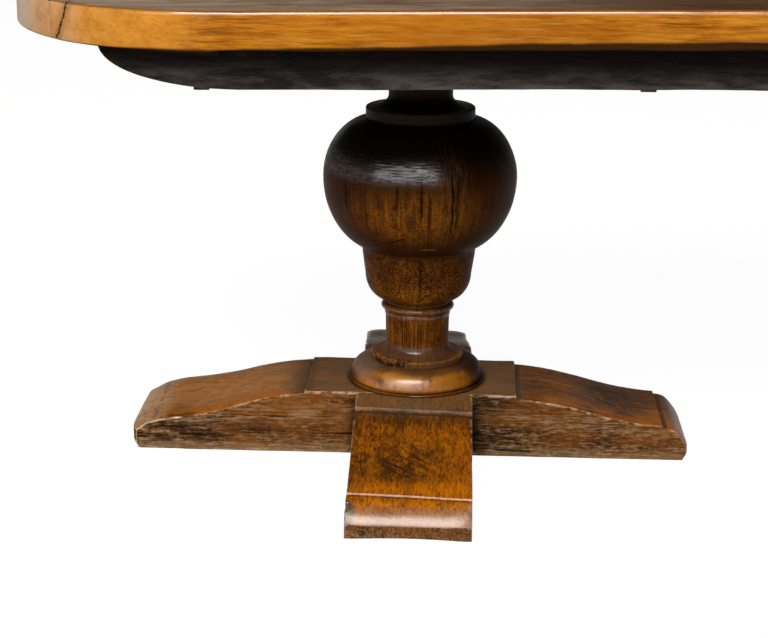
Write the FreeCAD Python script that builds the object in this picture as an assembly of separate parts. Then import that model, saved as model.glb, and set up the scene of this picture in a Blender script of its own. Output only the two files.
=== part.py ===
import FreeCAD, Part
import os
from math import acos, atan2, pi, sin, sqrt, tan

V = FreeCAD.Vector

# Top: planks between two end cleats, with half-ellipse ends
top_length = 2620.0
top_width = 980.0
top_thickness = 52.0
end_bow = 370.0
edge_round = 7.0
board_names = ["front_board", "front_middle_board", "back_middle_board", "back_board"]
tongue_names = ["front_tongue", "middle_tongue", "back_tongue"]

# Loose tongues in the planks' long edges
tongue_thickness = 10.0
tongue_width = 40.0
tongue_stop = 60.0

# End cleats, their grooves and pegs
cleat_width = 115.0
cleat_tongue_length = 30.0
cleat_tongue_thickness = 16.0
cleat_cover = 28.0
peg_diameter = 10.0

# Long rails under the top
rail_inset = 100.0
rail_thickness = 45.0
rail_height = 63.0
rail_setback = 42.0
rail_end_length = 195.0

# Cross bearers between the rails
bearer_width = 160.0
middle_bearer_width = 100.0
bearer_tenon_length = 20.0
bearer_tenon_height = 25.0
bearer_tenon_shoulder = 25.0

# Square-headed coach screws
screw_head = 22.0
screw_head_thickness = 5.0
screw_diameter = 10.0
screw_bite = 35.0
outer_screw_from_tip = 149.0
inner_screw_from_axis = 330.0

# Pedestals: their spacing, and the turned post from the foot disc up to the neck
pedestal_spacing = 1380.0
disc_radius = 75.0
disc_height = 11.0
scotia_height = 18.0
shaft_radius = 51.0
shaft_height = 43.0
fillet_radius = 54.5
fillet_height = 6.0
bead_radius = 58.5
bead_height = 15.0
groove_radius = 54.0
groove_height = 9.0
cup_radius = 86.0
cup_round = 36.0
cup_height = 38.0
cup_flare = 5.0
waist_cove_width = 8.5
waist_cove_height = 14.0
bulb_radius = 155.5
bulb_undercut = 37.5
bulb_drop = 125.0
bulb_crown = 97.0
bulb_shoulder = 9.5
collar_radius = 87.0
collar_height = 15.0
collar_round = 5.0
cavetto_width = 29.0
cavetto_height = 20.0
neck_radius = 51.0
neck_height = 71.2

# Tenons at both ends of the post, and their wedges
tenon_radius = 30.0
tenon_short = 4.0
wedge_length = 45.0
wedge_base = 8.0
wedge_tip = 3.0
wedge_cover = 2.0

# Turned ring between the post and the feet
ring_fillet_radius = 112.0
ring_fillet_height = 4.0
ring_radius = 107.0
ring_height = 34.0
ring_crown_width = 29.0
ring_crown_height = 16.0
ring_under_width = 12.0

# Crossed feet
foot_width = 185.0
foot_height = 104.0
foot_reach = 447.0
foot_raised = 170.0
foot_step = 6.0
foot_step_run = 4.0
foot_ridge_from_tip = 56.0
foot_ridge_height = 57.5
foot_ridge_drop = 3.5
foot_toe_height = 24.0
foot_toe_bulge = 4.0

# Clearances
turned_gap = 0.3
peg_gap = 0.2
end_gap = 1.0

# Levels and places worked out from the sizes above
ring_bottom = foot_height
post_seat = ring_bottom + ring_height
top_end = top_length / 2
bow_start = top_end - end_bow
cleat_joint = top_end - cleat_width
board_width = top_width / len(board_names)
rail_front = top_width / 2 - rail_inset
rail_back = rail_front - rail_thickness
rail_middle = rail_front - rail_thickness / 2
pedestal_axes = {"left": -pedestal_spacing / 2, "right": pedestal_spacing / 2}


def box(low, high):
    size = high - low
    return Part.makeBox(size.x, size.y, size.z, low)


def rod(radius, foot, length):
    return Part.makeCylinder(radius, length, foot)


def line(start, end):
    return Part.LineSegment(start, end).toShape()


def point(radius, level):
    return V(radius, 0, level)


def ellipse_arc(center, across, up, start, end):
    # Arc in the XZ plane. Angles run from the outward side (0) to the crown (90 degrees).
    side = center + V(across, 0, 0)
    crown = center + V(0, 0, up)
    if across >= up:
        return Part.ArcOfEllipse(Part.Ellipse(side, crown, center), start, end).toShape()
    inward = center - V(across, 0, 0)
    whole = Part.Ellipse(crown, inward, center)
    return Part.ArcOfEllipse(whole, start - pi / 2, end - pi / 2).toShape()


def turned(edges):
    face = Part.Face(Part.Wire(Part.__sortEdges__(edges)))
    return face.revolve(V(0, 0, 0), V(0, 0, 1), 360)


def outline_half_width(x):
    inside_bow = max(abs(x) - bow_start, 0.0)
    return top_width / 2 * sqrt(1 - (inside_bow / end_bow) ** 2)


def outline_reach(y):
    return bow_start + end_bow * sqrt(1 - (2 * y / top_width) ** 2)


# Turned profile of the post, from the lower tenon to the upper one
tenon_foot = tenon_short
disc_top = post_seat + disc_height
scotia_top = disc_top + scotia_height
shaft_top = scotia_top + shaft_height
fillet_top = shaft_top + fillet_height
bead_top = fillet_top + bead_height
cup_bottom = bead_top + groove_height
cup_side = cup_bottom + cup_round
cup_top = cup_side + cup_height
cup_top_radius = cup_radius + cup_flare
waist_radius = cup_top_radius + waist_cove_width
waist = cup_top + waist_cove_height
bulb_lower_across = bulb_radius - waist_radius + bulb_undercut
bulb_lower_angle = acos(bulb_undercut / bulb_lower_across)
bulb_level = waist + bulb_drop * sin(bulb_lower_angle)
bulb_upper_across = bulb_radius - collar_radius + bulb_shoulder
bulb_upper_angle = acos(bulb_shoulder / bulb_upper_across)
collar_bottom = bulb_level + bulb_crown * sin(bulb_upper_angle)
collar_top = collar_bottom + collar_height
neck_bottom = collar_top + cavetto_height
bearer_bottom = neck_bottom + neck_height
top_underside = bearer_bottom + rail_height
table_height = top_underside + top_thickness
tenon_head = top_underside - tenon_short


def post_profile():
    ledge = collar_top - collar_round
    cavetto_edge = neck_radius + cavetto_width
    rim_width = collar_radius - cavetto_edge
    bead_middle = (fillet_top + bead_top) / 2
    return [
        line(point(0, tenon_foot), point(tenon_radius, tenon_foot)),
        line(point(tenon_radius, tenon_foot), point(tenon_radius, post_seat)),
        line(point(tenon_radius, post_seat), point(disc_radius, post_seat)),
        line(point(disc_radius, post_seat), point(disc_radius, disc_top)),
        ellipse_arc(point(disc_radius, scotia_top), disc_radius - shaft_radius, scotia_height,
                    pi, 3 * pi / 2),
        line(point(shaft_radius, scotia_top), point(shaft_radius, shaft_top)),
        line(point(shaft_radius, shaft_top), point(fillet_radius, shaft_top)),
        line(point(fillet_radius, shaft_top), point(fillet_radius, fillet_top)),
        line(point(fillet_radius, fillet_top), point(groove_radius, fillet_top)),
        Part.Arc(point(groove_radius, fillet_top), point(bead_radius, bead_middle),
                 point(groove_radius, bead_top)).toShape(),
        line(point(groove_radius, bead_top), point(groove_radius, cup_bottom)),
        ellipse_arc(point(groove_radius, cup_side), cup_radius - groove_radius, cup_round, -pi / 2, 0),
        line(point(cup_radius, cup_side), point(cup_top_radius, cup_top)),
        ellipse_arc(point(waist_radius, cup_top), waist_cove_width, waist_cove_height, pi / 2, pi),
        ellipse_arc(point(bulb_radius - bulb_lower_across, bulb_level), bulb_lower_across, bulb_drop,
                    -bulb_lower_angle, 0),
        ellipse_arc(point(bulb_radius - bulb_upper_across, bulb_level), bulb_upper_across, bulb_crown,
                    0, bulb_upper_angle),
        line(point(collar_radius, collar_bottom), point(collar_radius, ledge)),
        ellipse_arc(point(cavetto_edge, ledge), rim_width, collar_round, 0, pi / 2),
        ellipse_arc(point(cavetto_edge, neck_bottom), cavetto_width, cavetto_height, pi, 3 * pi / 2),
        line(point(neck_radius, neck_bottom), point(neck_radius, bearer_bottom)),
        line(point(neck_radius, bearer_bottom), point(tenon_radius, bearer_bottom)),
        line(point(tenon_radius, bearer_bottom), point(tenon_radius, tenon_head)),
        line(point(tenon_radius, tenon_head), point(0, tenon_head)),
        line(point(0, tenon_head), point(0, tenon_foot)),
    ]


def wedge(end_level, direction):
    # Tapered slip across the tenon; its thick end is flush with the tenon's end.
    tip_level = end_level - direction * wedge_length
    corners = [
        V(0, -wedge_base / 2, end_level),
        V(0, wedge_base / 2, end_level),
        V(0, wedge_tip / 2, tip_level),
        V(0, -wedge_tip / 2, tip_level),
    ]
    half_chord = sqrt(tenon_radius ** 2 - (wedge_base / 2) ** 2) - wedge_cover
    slip = Part.Face(Part.makePolygon(corners + corners[:1])).extrude(V(2 * half_chord, 0, 0))
    return slip.translated(V(-half_chord, 0, 0))


foot_wedge = wedge(tenon_foot, -1)
head_wedge = wedge(tenon_head, 1)
post = turned(post_profile()).cut(foot_wedge).cut(head_wedge)


def base_ring():
    bore = tenon_radius + turned_gap
    fillet_level = ring_bottom + ring_fillet_height
    widest = post_seat - ring_crown_height
    crown = ring_radius - ring_crown_width
    under = ring_radius - ring_under_width
    return turned([
        line(point(bore, ring_bottom), point(ring_fillet_radius, ring_bottom)),
        line(point(ring_fillet_radius, ring_bottom), point(ring_fillet_radius, fillet_level)),
        line(point(ring_fillet_radius, fillet_level), point(under, fillet_level)),
        ellipse_arc(point(under, widest), ring_under_width, widest - fillet_level, -pi / 2, 0),
        ellipse_arc(point(crown, widest), ring_crown_width, ring_crown_height, 0, pi / 2),
        line(point(crown, post_seat), point(bore, post_seat)),
        line(point(bore, post_seat), point(bore, ring_bottom)),
    ])


def sagged_arc(start, end, bulge):
    chord = end - start
    square_to_chord = V(-chord.z, 0, chord.x).normalize()
    return Part.Arc(start, (start + end) / 2 + square_to_chord * bulge, end).toShape()


def foot_side(side):
    # One arm's upper outline, from the raised centre to the toe.
    ridge = foot_reach - foot_ridge_from_tip
    slope_start = foot_raised + foot_step_run
    slope_level = foot_height - foot_step
    run = (ridge - slope_start) / 2
    fall = (slope_level - foot_ridge_height) / 2
    bulge = sqrt(run ** 2 + fall ** 2) / 2 * tan(atan2(fall, run) / 2)
    corners = [
        point(side * foot_raised, foot_height),
        point(side * slope_start, slope_level),
        point(side * (slope_start + run), slope_level - fall),
        point(side * ridge, foot_ridge_height),
        point(side * ridge, foot_ridge_height - foot_ridge_drop),
        point(side * foot_reach, foot_toe_height),
        point(side * foot_reach, 0),
    ]
    return [
        line(corners[0], corners[1]),
        sagged_arc(corners[1], corners[2], side * bulge),
        sagged_arc(corners[2], corners[3], -side * bulge),
        line(corners[3], corners[4]),
        sagged_arc(corners[4], corners[5], side * foot_toe_bulge),
        line(corners[5], corners[6]),
    ]


def foot_timber():
    edges = foot_side(1) + foot_side(-1)
    edges.append(line(point(-foot_raised, foot_height), point(foot_raised, foot_height)))
    edges.append(line(point(-foot_reach, 0), point(foot_reach, 0)))
    face = Part.Face(Part.Wire(Part.__sortEdges__(edges)))
    blank = face.extrude(V(0, foot_width, 0)).translated(V(0, -foot_width / 2, 0))
    return blank.cut(rod(tenon_radius + turned_gap, V(0, 0, 0), foot_height))


def foot_notch(bottom, top):
    half = foot_width / 2
    return box(V(-half, -half, bottom), V(half, half, top))


lap_level = foot_height / 2
long_foot = foot_timber().cut(foot_notch(0, lap_level))
cross_foot = foot_timber().cut(foot_notch(lap_level, foot_height)).rotated(V(0, 0, 0), V(0, 0, 1), 90)

pedestal = {
    "post": post,
    "base_ring": base_ring(),
    "long_foot": long_foot,
    "cross_foot": cross_foot,
    "foot_wedge": foot_wedge,
    "head_wedge": head_wedge,
}
pieces = {}
for side_name, axis in pedestal_axes.items():
    for name, shape in pedestal.items():
        pieces[side_name + "_" + name] = shape.translated(V(axis, 0, 0))


def rail_underside(x):
    # Level of the rail's lower edge, which rounds up to the top at each end.
    inside_end = max(abs(x) - rail_tip + rail_end_length, 0.0)
    return bearer_bottom + rail_height * (1 - sqrt(1 - (inside_end / rail_end_length) ** 2))


rail_tip = outline_reach(rail_front) - rail_setback
outer_screw = rail_tip - outer_screw_from_tip
inner_screw = pedestal_spacing / 2 - inner_screw_from_axis
outer_seat = rail_underside(outer_screw + screw_head / 2)
screw_shank = top_underside + screw_bite
board_middles = [(place + 0.5) * board_width - top_width / 2 for place in range(len(board_names))]
inner_boards = board_middles[1:-1]
outer_seam = top_width / 2 - board_width
outer_bearer_screw = (rail_back + outer_seam + tongue_width / 2) / 2
screw_seats = []
for sign in (-1, 1):
    for rail_y in (-rail_middle, rail_middle):
        screw_seats.append(V(sign * outer_screw, rail_y, outer_seat))
        screw_seats.append(V(sign * inner_screw, rail_y, bearer_bottom))
for bearer_x in (pedestal_axes["left"], 0.0, pedestal_axes["right"]):
    for screw_y in [-outer_bearer_screw] + inner_boards + [outer_bearer_screw]:
        screw_seats.append(V(bearer_x, screw_y, bearer_bottom))


def coach_screw(seat):
    half = screw_head / 2
    head = box(seat - V(half, half, screw_head_thickness), seat + V(half, half, 0))
    return head.fuse(rod(screw_diameter / 2, seat, screw_shank - seat.z)).removeSplitter()


screw_holes = []
for seat in screw_seats:
    hole_length = screw_shank + end_gap - seat.z
    screw_holes.append(rod(screw_diameter / 2 + turned_gap, seat, hole_length))
pieces["coach_screws"] = Part.makeCompound([coach_screw(seat) for seat in screw_seats])


def bearer(x, width):
    half = width / 2
    tenon_half = half - bearer_tenon_shoulder
    tenon_middle = bearer_bottom + rail_height / 2
    tenon_end = rail_back + bearer_tenon_length
    body = box(V(x - half, -rail_back, bearer_bottom), V(x + half, rail_back, top_underside))
    tenons = box(V(x - tenon_half, -tenon_end, tenon_middle - bearer_tenon_height / 2),
                 V(x + tenon_half, tenon_end, tenon_middle + bearer_tenon_height / 2))
    return body.fuse(tenons).removeSplitter()


bearer_blanks = {"middle_bearer": bearer(0.0, middle_bearer_width)}
for name, axis in pedestal_axes.items():
    post_hole = rod(tenon_radius + turned_gap, V(axis, 0, bearer_bottom), rail_height)
    bearer_blanks[name + "_bearer"] = bearer(axis, bearer_width).cut(post_hole)
for name, blank in bearer_blanks.items():
    pieces[name] = blank.cut(screw_holes)


def rail(side):
    flat_end = rail_tip - rail_end_length
    edges = [
        line(point(-rail_tip, top_underside), point(rail_tip, top_underside)),
        ellipse_arc(point(flat_end, top_underside), rail_end_length, rail_height, -pi / 2, 0),
        line(point(flat_end, bearer_bottom), point(-flat_end, bearer_bottom)),
        ellipse_arc(point(-flat_end, top_underside), rail_end_length, rail_height, pi, 3 * pi / 2),
    ]
    face = Part.Face(Part.Wire(Part.__sortEdges__(edges)))
    inner_face = side * rail_back
    blank = face.extrude(V(0, side * rail_thickness, 0)).translated(V(0, inner_face, 0))
    half_recess = screw_head / 2 + end_gap
    for sign in (-1, 1):
        middle = V(sign * outer_screw, side * rail_middle, 0)
        blank = blank.cut(box(middle + V(-half_recess, -half_recess, bearer_bottom),
                              middle + V(half_recess, half_recess, outer_seat)))
    return blank.cut(list(bearer_blanks.values()) + screw_holes)


pieces["front_rail"] = rail(-1)
pieces["back_rail"] = rail(1)


def top_blank():
    # The whole top before it is divided, with both arrises rounded.
    half = top_width / 2
    edges = [line(V(-bow_start, -half, 0), V(bow_start, -half, 0)),
             line(V(-bow_start, half, 0), V(bow_start, half, 0))]
    for sign in (-1, 1):
        bow = Part.Ellipse(V(sign * bow_start, half, 0), V(sign * top_end, 0, 0), V(sign * bow_start, 0, 0))
        edges.append(Part.ArcOfEllipse(bow, 0, pi).toShape())
    face = Part.Face(Part.Wire(Part.__sortEdges__(edges)))
    slab = face.extrude(V(0, 0, top_thickness)).translated(V(0, 0, top_underside))
    rims = [edge for edge in slab.Edges if edge.BoundBox.ZLength < edge_round]
    return slab.makeFillet(edge_round, rims)


top_middle = top_underside + top_thickness / 2
tongue_end = cleat_joint + cleat_tongue_length
tongue_reach = outline_half_width(tongue_end) - cleat_cover


def end_tongue(gap):
    # The planks' end tongues as one strip through the table; the gap enlarges it into a groove.
    half_thickness = cleat_tongue_thickness / 2
    end = V(tongue_end + gap, tongue_reach + gap, half_thickness)
    middle = V(0, 0, top_middle)
    return box(middle - end, middle + end)


def loose_tongue(y, gap):
    half = V(cleat_joint - tongue_stop + gap, tongue_width / 2 + gap, tongue_thickness / 2)
    middle = V(0, y, top_middle)
    return box(middle - half, middle + half)


seams = [middle + board_width / 2 for middle in board_middles[:-1]]
for name, seam in zip(tongue_names, seams):
    pieces[name] = loose_tongue(seam, 0)
edge_grooves = [loose_tongue(seam, end_gap) for seam in seams]

peg_x = cleat_joint + cleat_tongue_length / 2
peg_places = []
for middle in board_middles:
    near = max(middle - board_width / 2, -tongue_reach)
    far = min(middle + board_width / 2, tongue_reach)
    if far - near > 2 * peg_diameter:
        peg_places += [V(-peg_x, (near + far) / 2, top_underside), V(peg_x, (near + far) / 2, top_underside)]
pegs = [rod(peg_diameter / 2, place, top_thickness) for place in peg_places]
peg_holes = [rod(peg_diameter / 2 + peg_gap, place, top_thickness) for place in peg_places]
pieces["cleat_pegs"] = Part.makeCompound(pegs)

blank = top_blank()
half_width = top_width / 2
planked = box(V(-cleat_joint, -half_width, top_underside), V(cleat_joint, half_width, table_height))
plank_stock = blank.common(planked.fuse(end_tongue(0)))
for name, middle in zip(board_names, board_middles):
    strip = box(V(-top_end, middle - board_width / 2, top_underside),
                V(top_end, middle + board_width / 2, table_height))
    pieces[name] = plank_stock.common(strip).cut(edge_grooves + peg_holes + screw_holes)
cleat_stock = blank.cut(planked).cut([end_tongue(end_gap)] + peg_holes)
for name, sign in (("left_end_cleat", -1), ("right_end_cleat", 1)):
    pieces[name] = [solid for solid in cleat_stock.Solids if sign * solid.CenterOfMass.x > 0][0]

os.makedirs("parts", exist_ok=True)
for name, shape in pieces.items():
    shape.exportStep("parts/" + name + ".step")
    print(name, len(shape.Solids), shape.isValid(), round(shape.Volume / 1000), "cm3")
print("table height", round(table_height, 2), "rail tip", round(rail_tip, 1))
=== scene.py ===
import math
import bpy
import bmesh
from mathutils import Matrix, Vector, noise


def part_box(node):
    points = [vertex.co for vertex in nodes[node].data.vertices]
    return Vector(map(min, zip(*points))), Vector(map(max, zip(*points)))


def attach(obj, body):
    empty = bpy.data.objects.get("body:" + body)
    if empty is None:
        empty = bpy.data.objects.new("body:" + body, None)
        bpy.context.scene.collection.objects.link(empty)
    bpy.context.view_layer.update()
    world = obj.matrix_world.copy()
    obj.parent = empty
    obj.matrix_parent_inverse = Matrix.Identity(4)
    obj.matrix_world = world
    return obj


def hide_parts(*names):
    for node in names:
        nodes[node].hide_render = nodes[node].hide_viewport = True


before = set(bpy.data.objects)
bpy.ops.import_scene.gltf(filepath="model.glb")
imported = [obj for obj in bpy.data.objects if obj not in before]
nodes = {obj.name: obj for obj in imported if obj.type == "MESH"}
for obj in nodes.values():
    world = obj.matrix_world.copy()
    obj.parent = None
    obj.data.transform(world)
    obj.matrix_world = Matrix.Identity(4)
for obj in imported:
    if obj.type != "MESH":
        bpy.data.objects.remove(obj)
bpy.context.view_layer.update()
print("frame loaded:", len(nodes), "nodes")


# Small helpers for shapes

def wander(point, size, seed):  # smooth noise, about -1 to 1
    return noise.noise(Vector(point) / size + Vector((seed * 3.1, seed * 1.7, seed * 0.9)))


def ease(low, high, value):  # 0 below low, 1 above high, smooth between
    t = min(1.0, max(0.0, (value - low) / (high - low)))
    return t * t * (3 - 2 * t)


def spread(start, end, count):
    return [start + (end - start) * i / count for i in range(count + 1)]


def arcPoints(centre, across, rise, start, end, count=10):  # part of an ellipse, in degrees
    return [(centre[0] + across * math.cos(math.radians(a)), centre[1] + rise * math.sin(math.radians(a)))
            for a in spread(start, end, count)]


def softened(points, radius, least=28):  # rounds the sharp corners of a profile
    result = [points[0]]
    for before, here, after in zip(points, points[1:], points[2:]):
        a, b, c = Vector(before), Vector(here), Vector(after)
        if (b - a).length < 1e-6 or (c - b).length < 1e-6:
            continue
        if math.degrees((b - a).angle(c - b)) < least:
            result.append(here)
            continue
        reach = min(radius, (b - a).length * 0.45, (c - b).length * 0.45)
        start, end = b + (a - b).normalized() * reach, b + (c - b).normalized() * reach
        for t in (0.0, 0.3, 0.7, 1.0):
            p = start * (1 - t) ** 2 + b * 2 * t * (1 - t) + end * t * t
            result.append((p.x, p.y))
    return result + [points[-1]]


def refined(points, step, fine=(0.0, 0.0, 1.0)):  # fine: heights from, to, own step
    result = [points[0]]
    for a, b in zip(points, points[1:]):
        longest = fine[2] if fine[0] < a[1] < fine[1] else step
        count = max(1, math.ceil((Vector(b) - Vector(a)).length / longest))
        result += [(a[0] + (b[0] - a[0]) * i / count, a[1] + (b[1] - a[1]) * i / count)
                   for i in range(1, count + 1)]
    return result


def turnedShape(profile, axisX, steps):  # spins a profile of radius and height about an upright axis
    bm = bmesh.new()
    line = [bm.verts.new((axisX + r, 0, z)) for r, z in profile]
    ribs = [bm.edges.new(pair) for pair in zip(line, line[1:])]
    bmesh.ops.spin(bm, geom=line + ribs, cent=(axisX, 0, 0), axis=(0, 0, 1), angle=2 * math.pi, steps=steps,
                   use_merge=True)
    bmesh.ops.remove_doubles(bm, verts=bm.verts, dist=1e-5)
    bmesh.ops.dissolve_degenerate(bm, edges=bm.edges, dist=1e-6)
    bmesh.ops.recalc_face_normals(bm, faces=bm.faces)
    return bm


def thickened(bm, shift):  # turns a flat shape into a solid one
    grown = bmesh.ops.extrude_face_region(bm, geom=bm.faces[:])["geom"]
    bmesh.ops.translate(bm, verts=[g for g in grown if isinstance(g, bmesh.types.BMVert)], vec=shift)
    bmesh.ops.recalc_face_normals(bm, faces=bm.faces)
    return bm


def sideShape(columns, levels, place, shift):  # a side set out in columns and levels, then thickened
    bm = bmesh.new()
    bmesh.ops.create_grid(bm, x_segments=len(columns) - 1, y_segments=levels, size=1)
    for v in bm.verts:
        s = columns[round((v.co.x + 1) / 2 * (len(columns) - 1))]
        v.co = Vector(place(s, (v.co.y + 1) / 2))
    return thickened(bm, shift)


def sharpEdges(bm, least):
    return [e for e in bm.edges if len(e.link_faces) == 2 and math.degrees(e.calc_face_angle(0)) > least]


def bevelled(bm, edges, size, count, **more):
    bmesh.ops.bevel(bm, geom=edges, offset=size, offset_type="OFFSET", segments=count, profile=0.5,
                    affect="EDGES", material=-1, **more)


# Proud corners carry wear and painted highlight, hollow ones dirt and painted shade.
def markWear(bm, gain=6.0, rounds=2):  # keeps how proud or hollow each corner is, for the finishes
    wear, dirt = bm.verts.layers.float.new("wear"), bm.verts.layers.float.new("dirt")
    bm.normal_update()
    turn = {}
    for v in bm.verts:
        lean = [v.normal.dot((v.co - e.other_vert(v).co).normalized())
                for e in v.link_edges if e.calc_length() > 1e-7]
        turn[v] = sum(lean) / max(1, len(lean))
    for _ in range(rounds):
        turn = {v: (turn[v] * 2 + sum(turn[e.other_vert(v)] for e in v.link_edges)) / (2 + len(v.link_edges))
                for v in turn}
    for v, amount in turn.items():
        v[wear] = min(1.0, max(0.0, amount * gain))
        v[dirt] = min(1.0, max(0.0, -amount * gain))


def linked(thing):
    bpy.context.scene.collection.objects.link(thing)
    return thing


def addPiece(name, bm, finish, slotName, *replaced, sharp=40):
    for face in bm.faces:
        face.smooth = True
    mesh = bpy.data.meshes.new(name)
    bm.to_mesh(mesh)
    bm.free()
    mesh.set_sharp_from_angle(angle=math.radians(sharp))
    piece = linked(bpy.data.objects.new(name, mesh))
    mesh.materials.append(finish)
    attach(piece, "root")
    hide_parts(*replaced)
    return piece


# The broken faces carry dirt and painted shade.
def lumpShape(spots, seed, dirt):  # place, size and squash of each lump
    cutter = bmesh.new()
    dirtAndShadeLayer = cutter.verts.layers.float.new("dirt")
    for place, size, squash in spots:
        lump = bmesh.ops.create_icosphere(cutter, subdivisions=4, radius=1.0)["verts"]
        for v in lump:
            v[dirtAndShadeLayer] = dirt
            v.co *= size * (1 + 0.22 * wander(v.co, 0.8, seed) + 0.14 * wander(v.co, 0.25, seed + 2))
            v.co = Vector((v.co.x * squash[0], v.co.y * squash[1], v.co.z * squash[2])) + Vector(place)
        seed += 5
    return cutter


def gouged(bm, spots, seed, dirt):  # breaks lumps out of a shape, every third at a time as neighbours overlap
    starts = range(min(3, len(spots)))
    shapes = [bm] + [lumpShape(spots[start::3], seed + start * 50, dirt) for start in starts]
    things = []
    for number, shape in enumerate(shapes):
        mesh = bpy.data.meshes.new("blank%d" % number)
        shape.to_mesh(mesh)
        shape.free()
        things.append(linked(bpy.data.objects.new(mesh.name, mesh)))
    for lumps in things[1:]:
        cut = things[0].modifiers.new("break", "BOOLEAN")
        cut.operation, cut.solver, cut.object = "DIFFERENCE", "EXACT", lumps
    bpy.context.view_layer.update()
    whole = things[0].evaluated_get(bpy.context.evaluated_depsgraph_get())
    broken = bpy.data.meshes.new_from_object(whole)
    result = bmesh.new()
    result.from_mesh(broken)
    for mesh in [thing.data for thing in things] + [broken]:
        bpy.data.meshes.remove(mesh)  # its object goes with it
    return result


# Small helpers for finishes

def tone(red, green, blue):  # a screen colour, 0 to 255, as linear light
    def light(part):
        part /= 255
        return part / 12.92 if part <= 0.04045 else ((part + 0.055) / 1.055) ** 2.4
    return (light(red), light(green), light(blue), 1.0)


class Wire:  # a node's output; arithmetic on it adds nodes, | keeps the larger value and & the smaller
    def __init__(self, bench, socket):
        self.bench, self.socket = bench, socket

    def __abs__(self):
        return self.bench.calc("ABSOLUTE", self)

    def ease(self, low, high, toLow=0.0, toHigh=1.0):  # smooth step
        node = self.bench.put("MapRange", {"interpolation_type": "SMOOTHSTEP"}, Value=self)
        for key, number in (("From Min", low), ("From Max", high), ("To Min", toLow), ("To Max", toHigh)):
            self.bench.feed(node.inputs[key], number)
        return Wire(self.bench, node.outputs["Result"])

    def stretch(self, scale=(1, 1, 1), shift=(0, 0, 0), turn=(0, 0, 0)):
        angles = [math.radians(a) for a in turn]
        return self.bench.wire("Mapping", 0, Vector=self, Location=shift, Rotation=angles, Scale=scale)

    def noise(self, scale, detail, rough, twist=0.0):  # three scales stretch it along the axes
        if isinstance(scale, tuple):
            return self.stretch(scale).noise(1, detail, rough, twist)
        return self.bench.wire("TexNoise", "Fac", Vector=self, Scale=scale, Detail=detail, Roughness=rough,
                               Distortion=twist)

    def mix(self, amount, other):
        return self.bench.blend(amount, self, other)

    def coats(self, *layers):  # one tone over another: how much, which
        colour = self
        for layer in layers:
            colour = colour.mix(*layer)
        return colour


def addSign(word, operation):  # lets a wire be added, multiplied and so on
    setattr(Wire, "__%s__" % word, lambda self, other: self.bench.calc(operation, self, other))
    setattr(Wire, "__r%s__" % word, lambda self, other: self.bench.calc(operation, other, self))


for word, operation in (("add", "ADD"), ("sub", "SUBTRACT"), ("mul", "MULTIPLY"), ("truediv", "DIVIDE"),
                        ("pow", "POWER"), ("or", "MAXIMUM"), ("and", "MINIMUM")):
    addSign(word, operation)


class Bench:  # makes the nodes of one finish, whose look names its tones
    def __init__(self, tree, look=None):
        self.tree, self.look = tree, look

    def put(self, kind, settings=None, **inputs):
        node = self.tree.nodes.new("ShaderNode" + kind)
        for key, value in (settings or {}).items():
            setattr(node, key, value)
        for key, value in inputs.items():
            self.feed(node.inputs[key.replace("_", " ")], value)
        return node

    def wire(self, kind, output, settings=None, **inputs):
        return Wire(self, self.put(kind, settings, **inputs).outputs[output])

    def feed(self, socket, value):
        if isinstance(value, Wire):
            self.tree.links.new(value.socket, socket)
        else:
            socket.default_value = self.look[value] if isinstance(value, str) else value

    def calc(self, operation, *values):
        node = self.put("Math", {"operation": operation})
        for socket, value in zip(node.inputs, values):
            self.feed(socket, value)
        return Wire(self, node.outputs[0])

    def blend(self, amount, first, second):
        node = self.put("Mix", {"data_type": "RGBA"})
        for place, value in ((0, amount), (6, first), (7, second)):  # the inputs for colours
            self.feed(node.inputs[place], value)
        return Wire(self, node.outputs[2])

    def ramp(self, amount, stops):
        node = self.put("ValToRGB", Fac=amount)
        marks = node.color_ramp.elements
        while len(marks) < len(stops):
            marks.new(0.5)
        for mark, (place, tint) in zip(marks, stops):
            mark.position, mark.color = place, self.look[tint]
        return Wire(self, node.outputs["Color"])

    def split(self, vector):
        return [Wire(self, socket) for socket in self.put("SeparateXYZ", Vector=vector).outputs]

    def join(self, x, y, z):
        return self.wire("CombineXYZ", 0, X=x, Y=y, Z=z)

    def bump(self, height, strength, distance):
        return self.wire("Bump", "Normal", Height=height, Strength=strength, Distance=distance)

    def group(self, name, **inputs):  # its outputs in order
        node = self.put("Group", {"node_tree": bpy.data.node_groups[name]}, **inputs)
        return [Wire(self, socket) for socket in node.outputs]


def newGroup(name, inputs, outputs):  # inputs called Vector are vectors, all else is a value
    tree = bpy.data.node_groups.new(name, "ShaderNodeTree")
    for label in inputs:
        kind = "NodeSocketVector" if label == "Vector" else "NodeSocketFloat"
        tree.interface.new_socket(label, in_out="INPUT", socket_type=kind)
    for label in outputs:
        tree.interface.new_socket(label, in_out="OUTPUT", socket_type="NodeSocketFloat")
    bench = Bench(tree)
    given = {socket.name: Wire(bench, socket) for socket in tree.nodes.new("NodeGroupInput").outputs}
    return bench, given, tree.nodes.new("NodeGroupOutput").inputs


def newFinish(name, look=None):
    finish = bpy.data.materials.new(name)
    finish.use_nodes = True
    finish.node_tree.nodes.clear()
    bench = Bench(finish.node_tree, look)
    shader = bench.put("BsdfPrincipled")
    bench.feed(bench.put("OutputMaterial").inputs["Surface"], Wire(bench, shader.outputs[0]))
    return finish, bench, shader.inputs, bench.wire("TexCoord", "Object")


# Effects that several finishes share

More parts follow.
